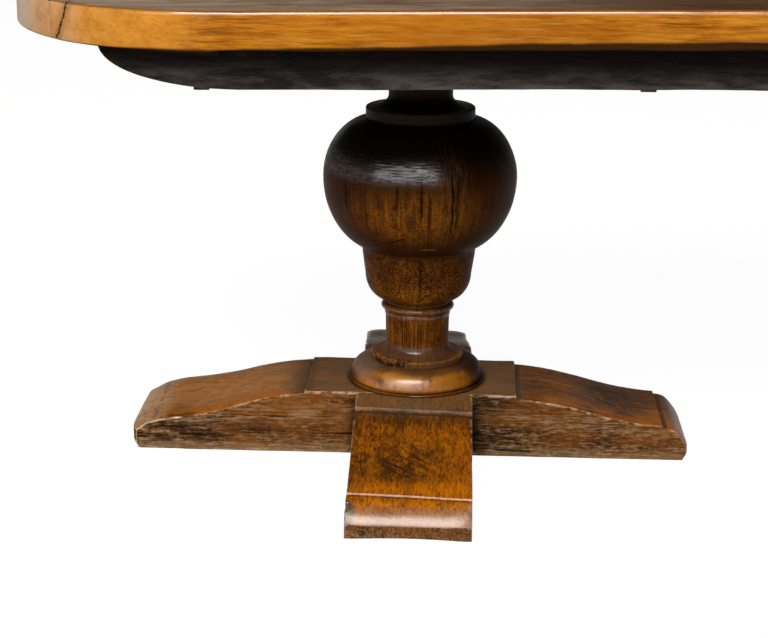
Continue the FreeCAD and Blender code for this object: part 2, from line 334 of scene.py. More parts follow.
bench, given, made = newGroup("oakFigure", ["Vector", "Spacing", "Wobble"],
                              ["Ring", "Pores", "Fibre", "Cloud"])
_, side, rise = bench.split(given["Vector"])  # the grain runs along the first axis
slow = given["Vector"].noise((1.6, 11, 11), 3, 0.5)
ripple = (slow - 0.5) * given["Wobble"]
radius = bench.calc("SQRT", side * side + rise * rise) + ripple
phase = radius / given["Spacing"]
wave = bench.calc("SINE", phase * (2 * math.pi)) * 0.5 + 0.5
breakUp = given["Vector"].noise((9, 70, 70), 4, 0.65)
bench.feed(made["Ring"], wave ** 1.6 * breakUp.ease(0.35, 0.62))
lines = given["Vector"].noise((34, 420, 420), 3, 0.7)
bench.feed(made["Pores"], lines.ease(0.55, 0.66))
bench.feed(made["Fibre"], given["Vector"].noise((22, 270, 270), 5, 0.72))
bench.feed(made["Cloud"], given["Vector"].noise((3.0, 19, 19), 6, 0.66, 0.4))

bench, given, made = newGroup("oldSurface", ["Vector"], ["Mottle", "Grit", "Scuffs", "Stains"])
drawn = given["Vector"].stretch((0.38, 1, 1))  # marks run a little along the grain
bench.feed(made["Mottle"], drawn.noise(52, 7, 0.72, 0.3))
bench.feed(made["Grit"], drawn.noise(230, 4, 0.75))
patches = drawn.stretch(shift=(5, 2, 8)).noise(11, 4, 0.6).ease(0.52, 0.64)
scored = drawn.stretch((60, 90, 90), turn=(0, 0, 30)).noise(1, 6, 0.76).ease(0.49, 0.57)
bench.feed(made["Scuffs"], scored * patches)
bench.feed(made["Stains"], drawn.noise(15, 7, 0.72, 0.6).ease(0.5, 0.64))

bench, given, made = newGroup("splitLine", ["Along", "Across", "Place", "From", "To", "Wander", "Width"],
                              ["Mask"])
seedPoint = bench.join(given["Along"] * 30, given["Place"] * 71, given["From"])
bendy = (seedPoint.noise(1, 6, 0.72) - 0.5) * given["Wander"]
gap = abs(given["Across"] - given["Place"] - bendy)
span = given["To"] - given["From"]
part = (given["Along"] - given["From"]) / span
taper = part.ease(0.0, 0.35) * part.ease(1.0, 0.65)
ragged = bench.join(given["Along"] * 260, given["Place"], 3.0).noise(1, 3, 0.7).ease(0.3, 0.7, 0.35, 1.5)
wide = given["Width"] * taper * ragged + 1e-05
bench.feed(made["Mask"], (gap / wide).ease(1.0, 0.3) * taper.ease(0.0, 0.1))

# Worn edges: wear and painted highlight. Grime: dirt and painted shade in the hollows.
bench, given, made = newGroup("edgesAndHollows", ["Vector", "Wear", "Dirt"], ["Worn", "Grime"])
patchy = given["Vector"].noise(55, 6, 0.7)
bench.feed(made["Worn"], (given["Wear"] * patchy.ease(0.35, 0.6, 0.55, 1.2)).ease(0.48, 0.9))
bench.feed(made["Grime"], (given["Dirt"] * patchy.ease(0.3, 0.65, 1.3, 0.6)).ease(0.08, 0.6))
print("shared effects made:", len(bpy.data.node_groups))


def vertexMasks(bench, coords):
    wear, dirt = [bench.wire("Attribute", "Fac", {"attribute_name": word}) for word in ("wear", "dirt")]
    return bench.group("edgesAndHollows", Vector=coords, Wear=wear, Dirt=dirt)


def anyLine(along, across, lines):
    most = None
    for place, low, high, swing, width in lines:
        line = along.bench.group("splitLine", Along=along, Across=across, Place=place, From=low, To=high,
                                 Wander=swing, Width=width)[0]
        most = line if most is None else most | line
    return most


def nearness(first, second, spot):  # 1 in the middle of an oval spot, 0 past its rim
    a, b = (first - spot[0]) / spot[1], (second - spot[2]) / spot[3]
    return first.bench.calc("SQRT", a * a + b * b).ease(1.0, 0.2)


# Finish of the two turned posts and base rings

turnedLook = {
    "amber": tone(152, 88, 20), "brown": tone(92, 51, 14), "dark": tone(38, 19, 8), "black": tone(12, 6, 3),
    "olive": tone(122, 84, 28), "gold": tone(188, 120, 36), "rust": tone(136, 68, 14),
    "dusk": tone(86, 62, 47), "pale": tone(176, 130, 84), "lilac": tone(126, 99, 82),
    "moss": tone(158, 100, 20), "collar": tone(50, 38, 30), "shadeAndPatinaFrom": 0.434, "shadeAndPatinaTo": 0.506,
    "rough": 0.45,
    # painted pools of light: angle, its reach, height, its reach
    "glows": [(-0.05, 1.05, 0.398, 0.082), (-0.22, 1.40, 0.270, 0.066)],
    "cracks": [
        (0.0488, 0.358, 0.494, 0.009, 0.0024), (0.0075, 0.395, 0.474, 0.005, 0.0013),
        (0.0165, 0.385, 0.440, 0.006, 0.0009), (-0.0236, 0.418, 0.456, 0.004, 0.0010),
    ],
    "streaks": [
        (0.0075, 0.392, 0.482, 0.008, 0.0050), (-0.0236, 0.402, 0.466, 0.008, 0.0036),
        (0.018, 0.372, 0.452, 0.010, 0.0030), (-0.105, 0.405, 0.460, 0.010, 0.0060),
        (0.056, 0.360, 0.500, 0.014, 0.0035), (0.010, 0.236, 0.340, 0.006, 0.0060),
    ],
    "scars": [(0.3635, -0.058, -0.010, 0.004, 0.0018)], "scarTilt": -0.39,
    "scratch": [(0.3495, -0.002, 0.042, 0.003, 0.0009)],
    "breaks": [(0.0722, -0.200, 0.006, 0.004, 0.0024)],  # where the disc's rim has split away
}


def turnedOak(name, axisX, facing, seed, ring=False):
    look = turnedLook
    finish, bench, shader, coords = newFinish(name, look)
    local = coords.stretch(shift=(-axisX, 0, 0))
    x, y, z = bench.split(local)
    angle = bench.calc("ARCTAN2", x, y * facing)  # 0 on the side that faces out
    arc = angle * 0.13
    grain = bench.join(z + seed, x + 0.035, y + 0.05)
    _, pores, _, cloud = bench.group("oakFigure", Vector=grain, Spacing=0.0085, Wobble=0.03)
    mottle, grit, _, stains = bench.group("oldSurface", Vector=grain.stretch((2.2, 1, 1)))
    strands = bench.join(arc * 230, z * 8, seed).noise(1, 6, 0.68)
    threads = bench.join(arc * 430, z * 34, seed).noise(1, 5, 0.7, 0.3)
    wornAndLit, grimeAndShade = vertexMasks(bench, local)
    if ring:
        mood = mottle * 0.45 + cloud * 0.35 + grit * 0.2
        # painted light: the ring is lighter at the front and darker round the sides
        front = abs(angle + 0.1).ease(1.4, 0.3, 0.34, 1.0)
        shade = mood.ease(0.38, 0.57) * front
        colour = bench.ramp(shade, [(0.0, "dark"), (0.25, "brown"), (0.6, "amber"), (1.0, "gold")])
        glowing = mottle.ease(0.36, 0.6, 0.35, 0.95)
        shine = mottle.ease(0.3, 0.6, 0.8, 1.0) * abs(angle + 0.15).ease(1.2, 0.1, 0.06, 1.0)
        cracks = None
        colour = colour.coats(
            # second: darker on the ring's top under the disc, grime and painted shade
            (stains * 0.6, "brown"), (z.ease(0.1305, 0.1365) * 0.85, bench.blend(0.4, "dusk", "dark")),
            (z.ease(0.117, 0.109) * 0.45, "rust"),
            (nearness(angle, z, (-0.42, 0.5, 0.131, 0.01)) * glowing, "gold"),
            (nearness(angle, z, (-0.75, 0.65, 0.109, 0.009)) * glowing, "gold"),
            (nearness(angle, z, (0.62, 0.55, 0.121, 0.022)) * glowing, "moss"),
            # painted shade on the right side
            (angle.ease(0.85, 1.25, 0.0, 0.75), "dark"),
            # painted lilac reflection on the upper left
            (angle.ease(-0.6, -1.0) * z.ease(0.114, 0.128) * mottle.ease(0.36, 0.56, 0.45, 0.9), "lilac"),
            # darker on the fillet under the ring's bulge: grime and painted shade
            (z.ease(0.1064, 0.1054) * 0.8, "dark"),
        )
    else:
        cup = z.ease(0.336, 0.322) * z.ease(0.232, 0.24)
        curls = abs(local.noise(64, 2, 0.6, 2.8) - 0.5)
        flecks = bench.join(arc * 90, z * 430, seed).noise(1, 4, 0.66, 0.4)
        mood = strands * 0.3 + threads * 0.14 + mottle * 0.22 + grit * 0.16 + flecks * 0.18
        # painted light: the shaft keeps full tone, the bulb's lower front and the cup's left are lit, and the
        # sides fall to painted shade
        warmAndLit = z.ease(0.24, 0.23)
        for spot in look["glows"]:
            warmAndLit = warmAndLit | nearness(angle, z, spot)
        shade = mood.ease(0.37, 0.61) * (warmAndLit * 0.72 + 0.28)
        colour = bench.ramp(shade, [(0.0, "dark"), (0.45, "brown"), (1.0, "amber")])
        shaft = z.ease(0.218, 0.21) * z.ease(0.158, 0.168)
        scotia = z.ease(0.172, 0.163) * z.ease(0.1492, 0.1515)
        rimLine = abs(z - 0.1482).ease(0.0019, 0.0004)
        olive = nearness(angle, z, (0.34, 0.34, 0.43, 0.105)) * threads.ease(0.47, 0.6)
        unsure = mottle * 0.06 + strands * 0.05
        # patina and painted shade: the post darkens to black above the bulb's middle, in the top's shadow
        shadeAndPatina = (z + (unsure - 0.055)).ease(look["shadeAndPatinaFrom"], look["shadeAndPatinaTo"])
        shadeAndPatina = shadeAndPatina * (olive * -0.45 + 0.97)
        streaks = anyLine(z, arc, look["streaks"]) * strands.ease(0.38, 0.62, 1.0, 0.4)
        cracks = anyLine(z, arc, look["cracks"])
        tilted = (arc + 0.034) * look["scarTilt"] + z
        cracks = cracks | anyLine(arc, tilted, look["scars"])
        out = bench.calc("SQRT", x * x + y * y)
        breaks = anyLine(arc, out, look["breaks"]) * z.ease(0.16, 0.155)
        band = z.ease(0.45, 0.474) * z.ease(0.512, 0.486)
        band = band * (angle.ease(0.6, 0.16) * angle.ease(-1.35, -0.3, 0.13, 1.0))
        ripples = bench.join(arc * 60, z * 330, seed).noise(1, 4, 0.66, 0.8)
        streaky = ripples.ease(0.36, 0.6, 0.15, 1.0) * strands.ease(0.32, 0.5, 0.5, 1.0)
        veil = nearness(angle, z, (-1.42, 0.34, 0.515, 0.032)) * 0.22
        polished = band * streaky | veil
        polished = (polished | scotia * abs(angle + 0.15).ease(0.95, 0.25)
            * strands.ease(0.36, 0.56, 0.1, 0.55))
        beads = z.ease(0.211, 0.214) * z.ease(0.238, 0.234)
        polished = polished | beads * threads.ease(0.4, 0.6, 0.05, 0.5)
        shine = polished * (1.0 - cracks)
        colour = colour.coats(
            (cup * 0.34, "amber"), (shaft * strands.ease(0.5, 0.42) * 0.6, "dark"),
            # painted highlight: a gold glint low on the front of the cup
            (nearness(angle, z, (-0.05, 0.75, 0.258, 0.026)) * 0.6, "gold"),
            # first: painted shade under the bulb, down to the waist
            (z.ease(0.392, 0.352) * z.ease(0.333, 0.338) * 0.5, "dark"), (pores * 0.45, "dark"),
            (stains * 0.4, "dark"), (scotia * 0.6, "dusk"),
            (rimLine * strands.ease(0.4, 0.6, 0.0, 0.4), "pale"), (z.ease(0.1485, 0.147) * 0.4, "dusk"),
            (cup * curls.ease(0.08, 0.02) * 0.85, bench.blend(0.4, "dark", "black")),
            (shadeAndPatina, "black"), (z.ease(0.5365, 0.5395, 0.0, 0.85), "collar"),
            # painted shade: the neck under the top is black
            (z.ease(0.5555, 0.558) * z.ease(0.59, 0.568), "black"), (olive * 0.45, "olive"),
            (streaks * 0.85, "black"), (breaks * 0.75, "black"), (cracks * 0.95, "black"),
            (anyLine(arc, z, look["scratch"]) * 0.6, "pale"),
        )
    shine = shine | wornAndLit * 0.22
    # pale on the proud edges: wear and painted highlight; black in the hollows: grime and painted shade
    colour = colour.coats((wornAndLit * 0.3, "pale"), (grimeAndShade * 0.85, "black"))
    bench.feed(shader["Base Color"], colour)
    rough = mottle * 0.3 + (look["rough"] - 0.12)
    bench.feed(shader["Roughness"], grimeAndShade * 0.25 + rough)
    bench.feed(shader["Coat Weight"], shine)
    shader["Coat Roughness"].default_value = 0.31 if ring else 0.22
    shader["Coat IOR"].default_value = 2.0
    shader["Specular IOR Level"].default_value = 0.02
    height = mottle * 0.7 + strands * 0.6 + pores * -0.35
    if cracks is not None:
        height = height - cracks * 2.0
    bench.feed(shader["Normal"], bench.bump(height, 0.3 if ring else 0.5, 0.0012))
    return finish


# Finish of the crossed feet: waxed on top, raw and weathered at the sides

footLook = {
    "orange": tone(180, 101, 10), "brown": tone(126, 68, 10), "dark": tone(54, 34, 14),
    "black": tone(12, 7, 4), "grey": tone(124, 94, 60), "tan": tone(198, 138, 82),
    "toeTan": tone(206, 164, 124), "bright": tone(224, 126, 8), "ash": tone(238, 226, 204),
    "nose": tone(162, 110, 66), "lip": tone(150, 134, 122), "arris": tone(226, 190, 152),
    "raw": tone(104, 70, 38), "rawDark": tone(40, 24, 13), "rawPale": tone(170, 136, 100),
    "amber": tone(140, 82, 26), "rough": 0.40,
    # dark lines over the long foot: place, half width, weakest, strongest
    "ridges": [(0.411, 0.006, 0.35, 0.85), (0.1745, 0.0050, 0.75, 0.95), (-0.420, 0.005, 0.05, 0.45)],
    "scores": [(0.024, 0.150, 0.300, 0.006, 0.0030)], "bare": (-0.432, 0.030, -0.094, 0.026),
    "torn": tone(172, 134, 98),
    # along, its reach, over, its reach
    "scratched": {True: (-0.312, 0.075, -0.010, 0.074), False: (0.325, 0.085, 0.0, 0.095)},
}


def footOak(name, axisX, across, seed, slant):
    look = footLook
    finish, bench, shader, coords = newFinish(name, look)
    local = coords.stretch(shift=(-axisX, 0, 0))
    x, y, z = bench.split(local)
    alongFoot, overFoot = (y, x) if across else (x, y)
    grain = bench.join(alongFoot + seed, overFoot + 0.05, z + 0.18)
    rings, pores, fibre, cloud = bench.group("oakFigure", Vector=grain, Spacing=0.0075, Wobble=0.04)
    mottle, grit, scuffs, stains = bench.group("oldSurface", Vector=grain)
    up = bench.split(bench.wire("NewGeometry", "Normal"))[2]
    waxed = (up + (mottle - 0.5) * 0.5).ease(0.22, 0.45)
    if across:
        waxed = waxed * (1.0 - (nearness(alongFoot, overFoot, look["bare"]) + mottle * 0.8).ease(0.62, 0.8))
    mood = cloud * 0.25 + mottle * 0.25 + grit * 0.28 + fibre * 0.22
    top = bench.ramp(mood.ease(0.41, 0.58), [(0.0, "dark"), (0.35, "brown"), (1.0, "orange")])
    reach, toeShine = abs(alongFoot), 1.0
    if across:
        frontArm, backToe = alongFoot.ease(-0.1, -0.2), alongFoot.ease(0.375, 0.4)
        top = top.coats(
            (frontArm * reach.ease(0.33, 0.39) * mood.ease(0.4, 0.52, 0.35, 0.8), "bright"),
            # painted sheen: the back toe is pale
            (frontArm * reach.ease(0.415, 0.437) * 0.85, "nose"), (backToe * 0.95, "ash"),
        )
    else:
        leftArm, rightArm = alongFoot.ease(-0.175, -0.205), alongFoot.ease(0.17, 0.32)
        toeShine = alongFoot.ease(0.36, 0.39, 1.0, 0.15)
        top = top.coats(
            (leftArm * 0.62, "tan"), (rightArm * 0.22, "tan"),
            (rightArm * overFoot.ease(-0.03, 0.06) * 0.58, "dark"),
            (reach.ease(0.19, 0.23) * overFoot.ease(alongFoot.ease(-0.1, 0.1, -0.044, -0.01), -0.074) * 0.85,
             "orange"),
            (alongFoot.ease(-0.395, -0.43) * 0.6, "toeTan"),
        )
        for place, size, low, high in look["ridges"]:
            ridgeLine = abs(mottle * 0.012 + alongFoot - place).ease(size, size * 0.3)
            top = top.mix(ridgeLine * mottle.ease(0.4, 0.6, low, high), "dark")
        top = top.mix(anyLine(alongFoot, overFoot, look["scores"]) * 0.8, "tan")
    # painted shade and dirt on the band just outside the raised block
    stepShadeAndDirt = reach.ease(0.16, 0.175) * (reach + mottle * 0.03).ease(0.245, 0.195)
    scratched = nearness(alongFoot, overFoot, look["scratched"][across])
    scratches = grain.stretch(turn=(0, 0, 53)).noise((26, 190, 190), 4, 0.66).ease(0.47, 0.56) * scratched
    radius = bench.calc("SQRT", x * x + y * y)
    dulled = (radius + mottle * 0.05).ease(0.25, 0.175) * z.ease(0.094, 0.1)
    splinters = grain.noise((52, 560, 560), 3, 0.7)
    strands = fibre * 0.24 + splinters * 0.28 + grit * 0.32 + cloud * 0.16
    raw = bench.ramp(strands.ease(0.43, 0.58), [(0.0, "rawDark"), (0.5, "raw"), (1.0, "rawPale")])
    lines = grain.noise((7, 420, 420), 3, 0.6).ease(0.54, 0.62)
    raw = raw.coats(
        (lines * 0.45, "rawDark"), (stains * 0.6, "rawDark"),
        (grain.noise((5, 14, 14), 4, 0.6).ease(0.45, 0.6) * 0.45, "amber"),
    )
    if not across:
        warmSide = alongFoot.ease(-0.34, -0.22) * alongFoot.ease(-0.06, -0.12) * z.ease(0.045, 0.07)
        raw = raw.mix(warmSide * mottle.ease(0.4, 0.6, 0.1, 0.6), "amber")
    low = (z + (mottle - 0.5) * 0.03).ease(0.02, 0.003)
    torn = abs(reach * 0.06 - 0.076 + z)  # a band of torn fibres falls towards the toe
    fibres = grain.stretch((20, 300, 300), shift=(4, 1, 7)).noise(1, 5, 0.7, 0.3)
    torn = torn.ease(0.02, 0.003) * (fibres * 0.7 + mottle * 0.3).ease(0.49, 0.57)
    shakes = grain.stretch((6, 150, 150), shift=(1, 2, 3)).noise(1, 5, 0.62).ease(0.61, 0.65)
    top = top.coats(
        (stepShadeAndDirt * (0.5 if across else alongFoot.ease(-0.1, 0.1, 0.65, 0.15)), "dark"),
        (rings * 0.15, "dark"), (fibre.ease(0.5, 0.38, 0.0, 0.42), "dark"),
        (stains * (0.35 if across else 0.22), "dark"), (scuffs * 0.8, "dark"), (pores * 0.5, "dark"),
        (scratched * mottle.ease(0.62, 0.42, 0.0, 0.55), "dark"), (scratches * 0.9, "dark"),
        (dulled * grit.ease(0.38, 0.6, 0.45, 0.85), "grey"),
    )
    raw = raw.coats(
        (low * (0.1 if across else 0.4), "rawPale"), (torn * 0.65, "torn"), (shakes * 0.85, "black"),
    )
    colour = raw.mix(waxed, top)
    wornAndLit, grimeAndShade = vertexMasks(bench, local)
    onStep = abs(reach - 0.172).ease(0.006, 0.012, 0.42 if across else 0.5, 1.0)
    wornAndLit = wornAndLit * onStep * z.ease(0.0008, 0.003)
    greyed = alongFoot.ease(-0.12, -0.16) if across else 0.0
    if across:
        level = overFoot * (slant * 2 / foot["width"]) + reach
        under = abs(level - 0.1765).ease(0.0034, 0.0014) * waxed
        beyond = abs(level - 0.4048).ease(0.003, 0.001) * greyed * mottle.ease(0.35, 0.6, 0.4, 1.0)
        colour = colour.mix((under | beyond) * 0.6, "black")
    else:
        wornAndLit = wornAndLit * abs(reach - 0.401).ease(0.004, 0.01, 0.15, 1.0)
    ringContactShade = radius.ease(0.12, 0.111) * z.ease(0.095, 0.101)  # grime and painted contact shade round the base ring
    besideFoot = reach - foot["notch"] + (mottle - 0.5) * 0.03
    # painted shade and grime in the corners beside the crossing foot
    corner = besideFoot.ease(0.026, 0.0) * z.ease(0.104, 0.08) * (1.0 - waxed)
    # black: grime and painted shade in the hollows, round the ring and in the corners
    footDirtAndShade = grimeAndShade | ringContactShade | corner * 0.95
    # along the arrises: wear and painted highlight, lilac grey on the front arm
    colour = colour.coats((wornAndLit * 0.75, bench.blend(greyed, "arris", "lip")), (footDirtAndShade * 0.88, "black"))
    bench.feed(shader["Base Color"], colour)
    waxRough = mottle * 0.3 + (look["rough"] - 0.15)
    rawRough = fibre * 0.2 + 0.62
    mixRough = waxed * waxRough + (1.0 - waxed) * rawRough
    bench.feed(shader["Roughness"], mixRough)
    steep = up.ease(0.18, 0.34) * up.ease(0.97, 0.8) * reach.ease(0.3, 0.36, 0.2, 1.0)  # shiny noses
    polish = (steep | wornAndLit) * mottle.ease(0.35, 0.6, 0.88, 1.0)
    polish = polish * toeShine * grimeAndShade.ease(0.1, 0.4, 1.0, 0.1)
    if across:
        polish = polish | alongFoot.ease(0.355, 0.405, 0.0, 0.8)
    bench.feed(shader["Coat Weight"], polish * 0.95 + waxed * 0.03)
    shader["Coat Roughness"].default_value = 0.28
    shader["Coat IOR"].default_value = 1.8
    shader["Specular IOR Level"].default_value = 0.04
    roughSide = strands * 3.4 - (shakes | lines) * 1.4
    height = (1.0 - waxed) * roughSide + (mottle * 0.7 + pores * -0.3 + scratches * -0.5)
    bench.feed(shader["Normal"], bench.bump(height, 0.6, 0.0014))
    return finish


# Top: sizes, then its finish: honey edges, dark polished face

top = {
    "low": 0.708, "high": 0.760, "half": 1.310, "halfWidth": 0.490, "bow": 0.370, "joint": 1.195,
    "round": 0.0058, "underRound": 0.003, "seam": 0.0011, "edgeStep": 0.016, "crook": 0.0065,
    "crookSpan": 1.4, "plump": 0.003, "slices": 24,
    "boards": ["front_board", "front_middle_board", "back_middle_board", "back_board"],
    "shades": [0.0, 0.30, 0.08, 0.36], "cleatShade": 0.2, "waneDepth": 0.006, "wave": 0.0011,
    "edgeZone": 0.012, "inset": 0.0012,
}

topLook = {
    "honey": tone(204, 134, 38), "amber": tone(168, 98, 21), "line": tone(110, 60, 15),
    "face": tone(164, 130, 96), "faceSheenPale": tone(200, 178, 152), "faceDark": tone(82, 55, 32),
    "black": tone(20, 12, 8), "under": tone(38, 27, 18), "wane": tone(38, 25, 13),
    "light": tone(222, 152, 58), "endGrey": tone(206, 194, 176), "endTan": tone(206, 160, 114),
    "pale": tone(226, 178, 108), "endGrain": tone(186, 140, 86), "darkened": (-0.16, 0.56, -0.44, 0.40),
    "crack": (-1.17, 0.68, 0.795, 0.018, 0.0028),
}


def topOak(name, across, seed, wane, shade):
    look = topLook
    finish, bench, shader, coords = newFinish(name, look)
    x, y, z = bench.split(coords)
    alongBoard, overBoard = (y, x) if across else (x, y)
    grain = bench.join(alongBoard + seed, overBoard + seed * 0.13, z - 0.6)
    rings, pores, fibre, cloud = bench.group("oakFigure", Vector=grain, Spacing=0.009, Wobble=0.06)
    mottle, _, scuffs, stains = bench.group("oldSurface", Vector=grain)
    faceX, faceY, up = bench.split(bench.wire("NewGeometry", "Normal"))
    ends = abs(faceY if across else faceX).ease(0.35, 0.75)  # where the end grain shows
    faceMask, underMask = up.ease(0.9, 0.985), up.ease(-0.5, -0.85)
    streaks = grain.noise((5, 110, 110), 6, 0.72)
    fineLines = grain.noise((8, 330, 330), 4, 0.65)
    mood = cloud * 0.28 + fibre * 0.22 + streaks * 0.25 + fineLines * 0.25
    edge = bench.ramp(mood.ease(0.4, 0.59), [(0.0, "line"), (0.4, "amber"), (1.0, "honey")])
    blotch = bench.blend(mottle.ease(0.4, 0.58), "amber", "endGrain")
    edge = edge.coats(
        (grain.noise((2.4, 12, 12), 3, 0.5).ease(0.47, 0.62) * 0.5, "amber"), (ends * 0.7, blotch),
        (fineLines.ease(0.58, 0.66) * 0.5, "line"), (pores * 0.25, "line"),
        (fineLines.ease(0.44, 0.35) * 0.28, "pale"), (scuffs * 0.3, "line"),
    )
    if across:
        # painted sheen on the far end of the cleat
        endSheen = abs(faceX).ease(0.81, 0.93) * (y.ease(-0.06, -0.2) * x.ease(0.5, -0.5))
        edge = edge.coats((mottle.ease(0.38, 0.58, 0.35, 0.85), "endTan"), (endSheen * 0.8, "endGrey"))
    else:
        lit = x.ease(-0.93, -1.05) * mottle.ease(0.3, 0.66, 0.25, 0.65)
        edge = edge.coats(
            (lit, "light"), (x.ease(-1.125, -1.165) * mottle.ease(0.3, 0.66, 0.35, 0.75), "endTan"),
        )
    face = bench.ramp(mood.ease(0.41, 0.59), [(0.0, "faceDark"), (1.0, "face")])
    darkened = nearness(x, y, look["darkened"]) * cloud.ease(0.36, 0.5, 0.4, 1.0)
    face = face.coats(
        # painted sheen: the face is paler towards the left end
        (shade, "faceDark"), (x.ease(-0.62, -0.95, 0.0, 0.34), "faceSheenPale"), (rings * 0.4, "faceDark"),
        (pores * 0.5, "black"), (stains * 0.5, "faceDark"), (darkened * 0.92, "faceDark"),
    )
    colour = edge.mix(faceMask, face)
    rim = up.ease(0.55, 0.8) * up.ease(0.99, 0.93)  # a darker line where the edge turns into the face: painted dark reflection
    lane = 2 * top["halfWidth"] / len(top["boards"])
    offJoint = abs(abs(x) - top["joint"])
    for place in (-lane, 0.0, lane):
        offJoint = offJoint & abs(y - place)
    seam = offJoint.ease(0.0032, 0.0016) * (up.ease(0.45, 0.6) * up.ease(0.98, 0.92))
    colour = colour.coats(
        (rim * 0.7, "line"), (seam * 0.9, "black"),
        (underMask, bench.blend(fibre.ease(0.4, 0.6), "under", "faceDark")),
    )
    if wane:
        bite = coords.noise((4.5, 0, 0), 6, 0.65)
        sag = bench.calc("COSINE", x * (math.pi / top["crookSpan"])) * top["crook"] + top["low"]
        deep = (x.ease(-1.05, -0.26, 0.0045, 0.014) + (bite - 0.5) * 0.01) * x.ease(-1.13, -1.02)
        strip = (z - (sag + deep)).ease(0.0022, -0.0026)
        tilted = (z - 0.735) * -0.42 + x
        crack = anyLine(z, tilted, [look["crack"]])
        halo = abs(tilted - look["crack"][0]).ease(0.015, 0.001)
        colour = colour.coats(
            (strip * 0.95, "wane"), (halo * mottle.ease(0.36, 0.6, 0.15, 0.6), "line"),
            (crack * 0.9, "black"),
        )
    bench.feed(shader["Base Color"], colour)
    bench.feed(shader["Roughness"], mottle * 0.25 + 0.26 | underMask * 0.85)
    shader["Specular IOR Level"].default_value = 0.0
    arris = up.ease(0.06, 0.22) * up.ease(0.995, 0.9)
    gloss = (cloud * 0.45 + mottle * 0.3 + fineLines * 0.25).ease(0.42, 0.58, 0.02, 0.36)
    gloss = gloss * (1.0 - (stains | darkened) * 0.92)
    arris = arris * (1.0 - seam)
    bench.feed(shader["Coat Weight"], faceMask * gloss | arris)
    shader["Coat Roughness"].default_value = 0.19
    shader["Coat IOR"].default_value = 2.0
    height = grain.noise((3, 16, 16), 4, 0.5) + pores * -0.25 + fineLines * 0.25
    bench.feed(shader["Normal"], bench.bump(height, 0.45, 0.0015))
    return finish


# Finish of the rails and bearers: black with age, with dust and painted light towards the bottom

railLook = {
    "black": tone(9, 6, 5), "brown": tone(27, 18, 12), "dust": tone(110, 101, 95),
    "arris": tone(150, 104, 66),
}


def railOak(name, across, seed):
    finish, bench, shader, coords = newFinish(name, railLook)
    x, y, z = bench.split(coords)
    alongRail, overRail = (y, x) if across else (x, y)
    grain = bench.join(alongRail + seed, overRail, z - 0.5)
    _, pores, fibre, _ = bench.group("oakFigure", Vector=grain, Spacing=0.008, Wobble=0.05)
    mottle, _, _, _ = bench.group("oldSurface", Vector=grain)
    smear = grain.noise((11, 60, 60), 7, 0.74, 0.2)
    colour = bench.blend(fibre.ease(0.42, 0.62), "black", "brown")
    # lighter towards the bottom: dust and painted light below the top's shadow; the lower arris: wear and
    # painted highlight
    lower = z.ease(0.7, 0.646) ** 2.0
    dustyAndLit = lower * smear.ease(0.36, 0.68, 0.14, 0.95)
    wornAndLit, _ = vertexMasks(bench, coords)
    colour = colour.coats(
        (pores * 0.6, "black"), (dustyAndLit, "dust"), (wornAndLit * z.ease(0.695, 0.68) * 0.7, "arris"),
    )
    bench.feed(shader["Base Color"], colour)
    bench.feed(shader["Roughness"], mottle * 0.25 + 0.5)
    shader["Specular IOR Level"].default_value = 0.06
    bench.feed(shader["Normal"], bench.bump(fibre * 1.2 + mottle * 0.8, 0.6, 0.0015))
    return finish


# Finish of the tongues, pegs and wedges, and of the screws

def jointOak(name, shade):
    finish, bench, shader, coords = newFinish(name)
    _, pores, _, _ = bench.group("oakFigure", Vector=coords, Spacing=0.004, Wobble=0.01)
    mottle, _, _, _ = bench.group("oldSurface", Vector=coords)
    colour = bench.blend(mottle.ease(0.35, 0.65), tone(*shade), tone(*[part * 0.6 for part in shade]))
    colour = colour.mix(pores * 0.5, tone(40, 24, 13))
    bench.feed(shader["Base Color"], colour)
    bench.feed(shader["Roughness"], mottle * 0.3 + 0.35)
    bench.feed(shader["Normal"], bench.bump(mottle, 0.4, 0.0008))
    return finish


def oldIron(name):
    finish, bench, shader, coords = newFinish(name)
    mottle, _, _, _ = bench.group("oldSurface", Vector=coords.stretch((3, 3, 3)))
    rust = mottle.ease(0.45, 0.62)
    bench.feed(shader["Base Color"], bench.blend(rust, tone(38, 35, 33), tone(70, 42, 27)))
    bench.feed(shader["Metallic"], rust.ease(0.2, 0.8, 0.9, 0.1))
    bench.feed(shader["Roughness"], rust * 0.3 + 0.45)
    bench.feed(shader["Normal"], bench.bump(mottle, 0.6, 0.0006))
    return finish


# Turned posts, sizes in metres

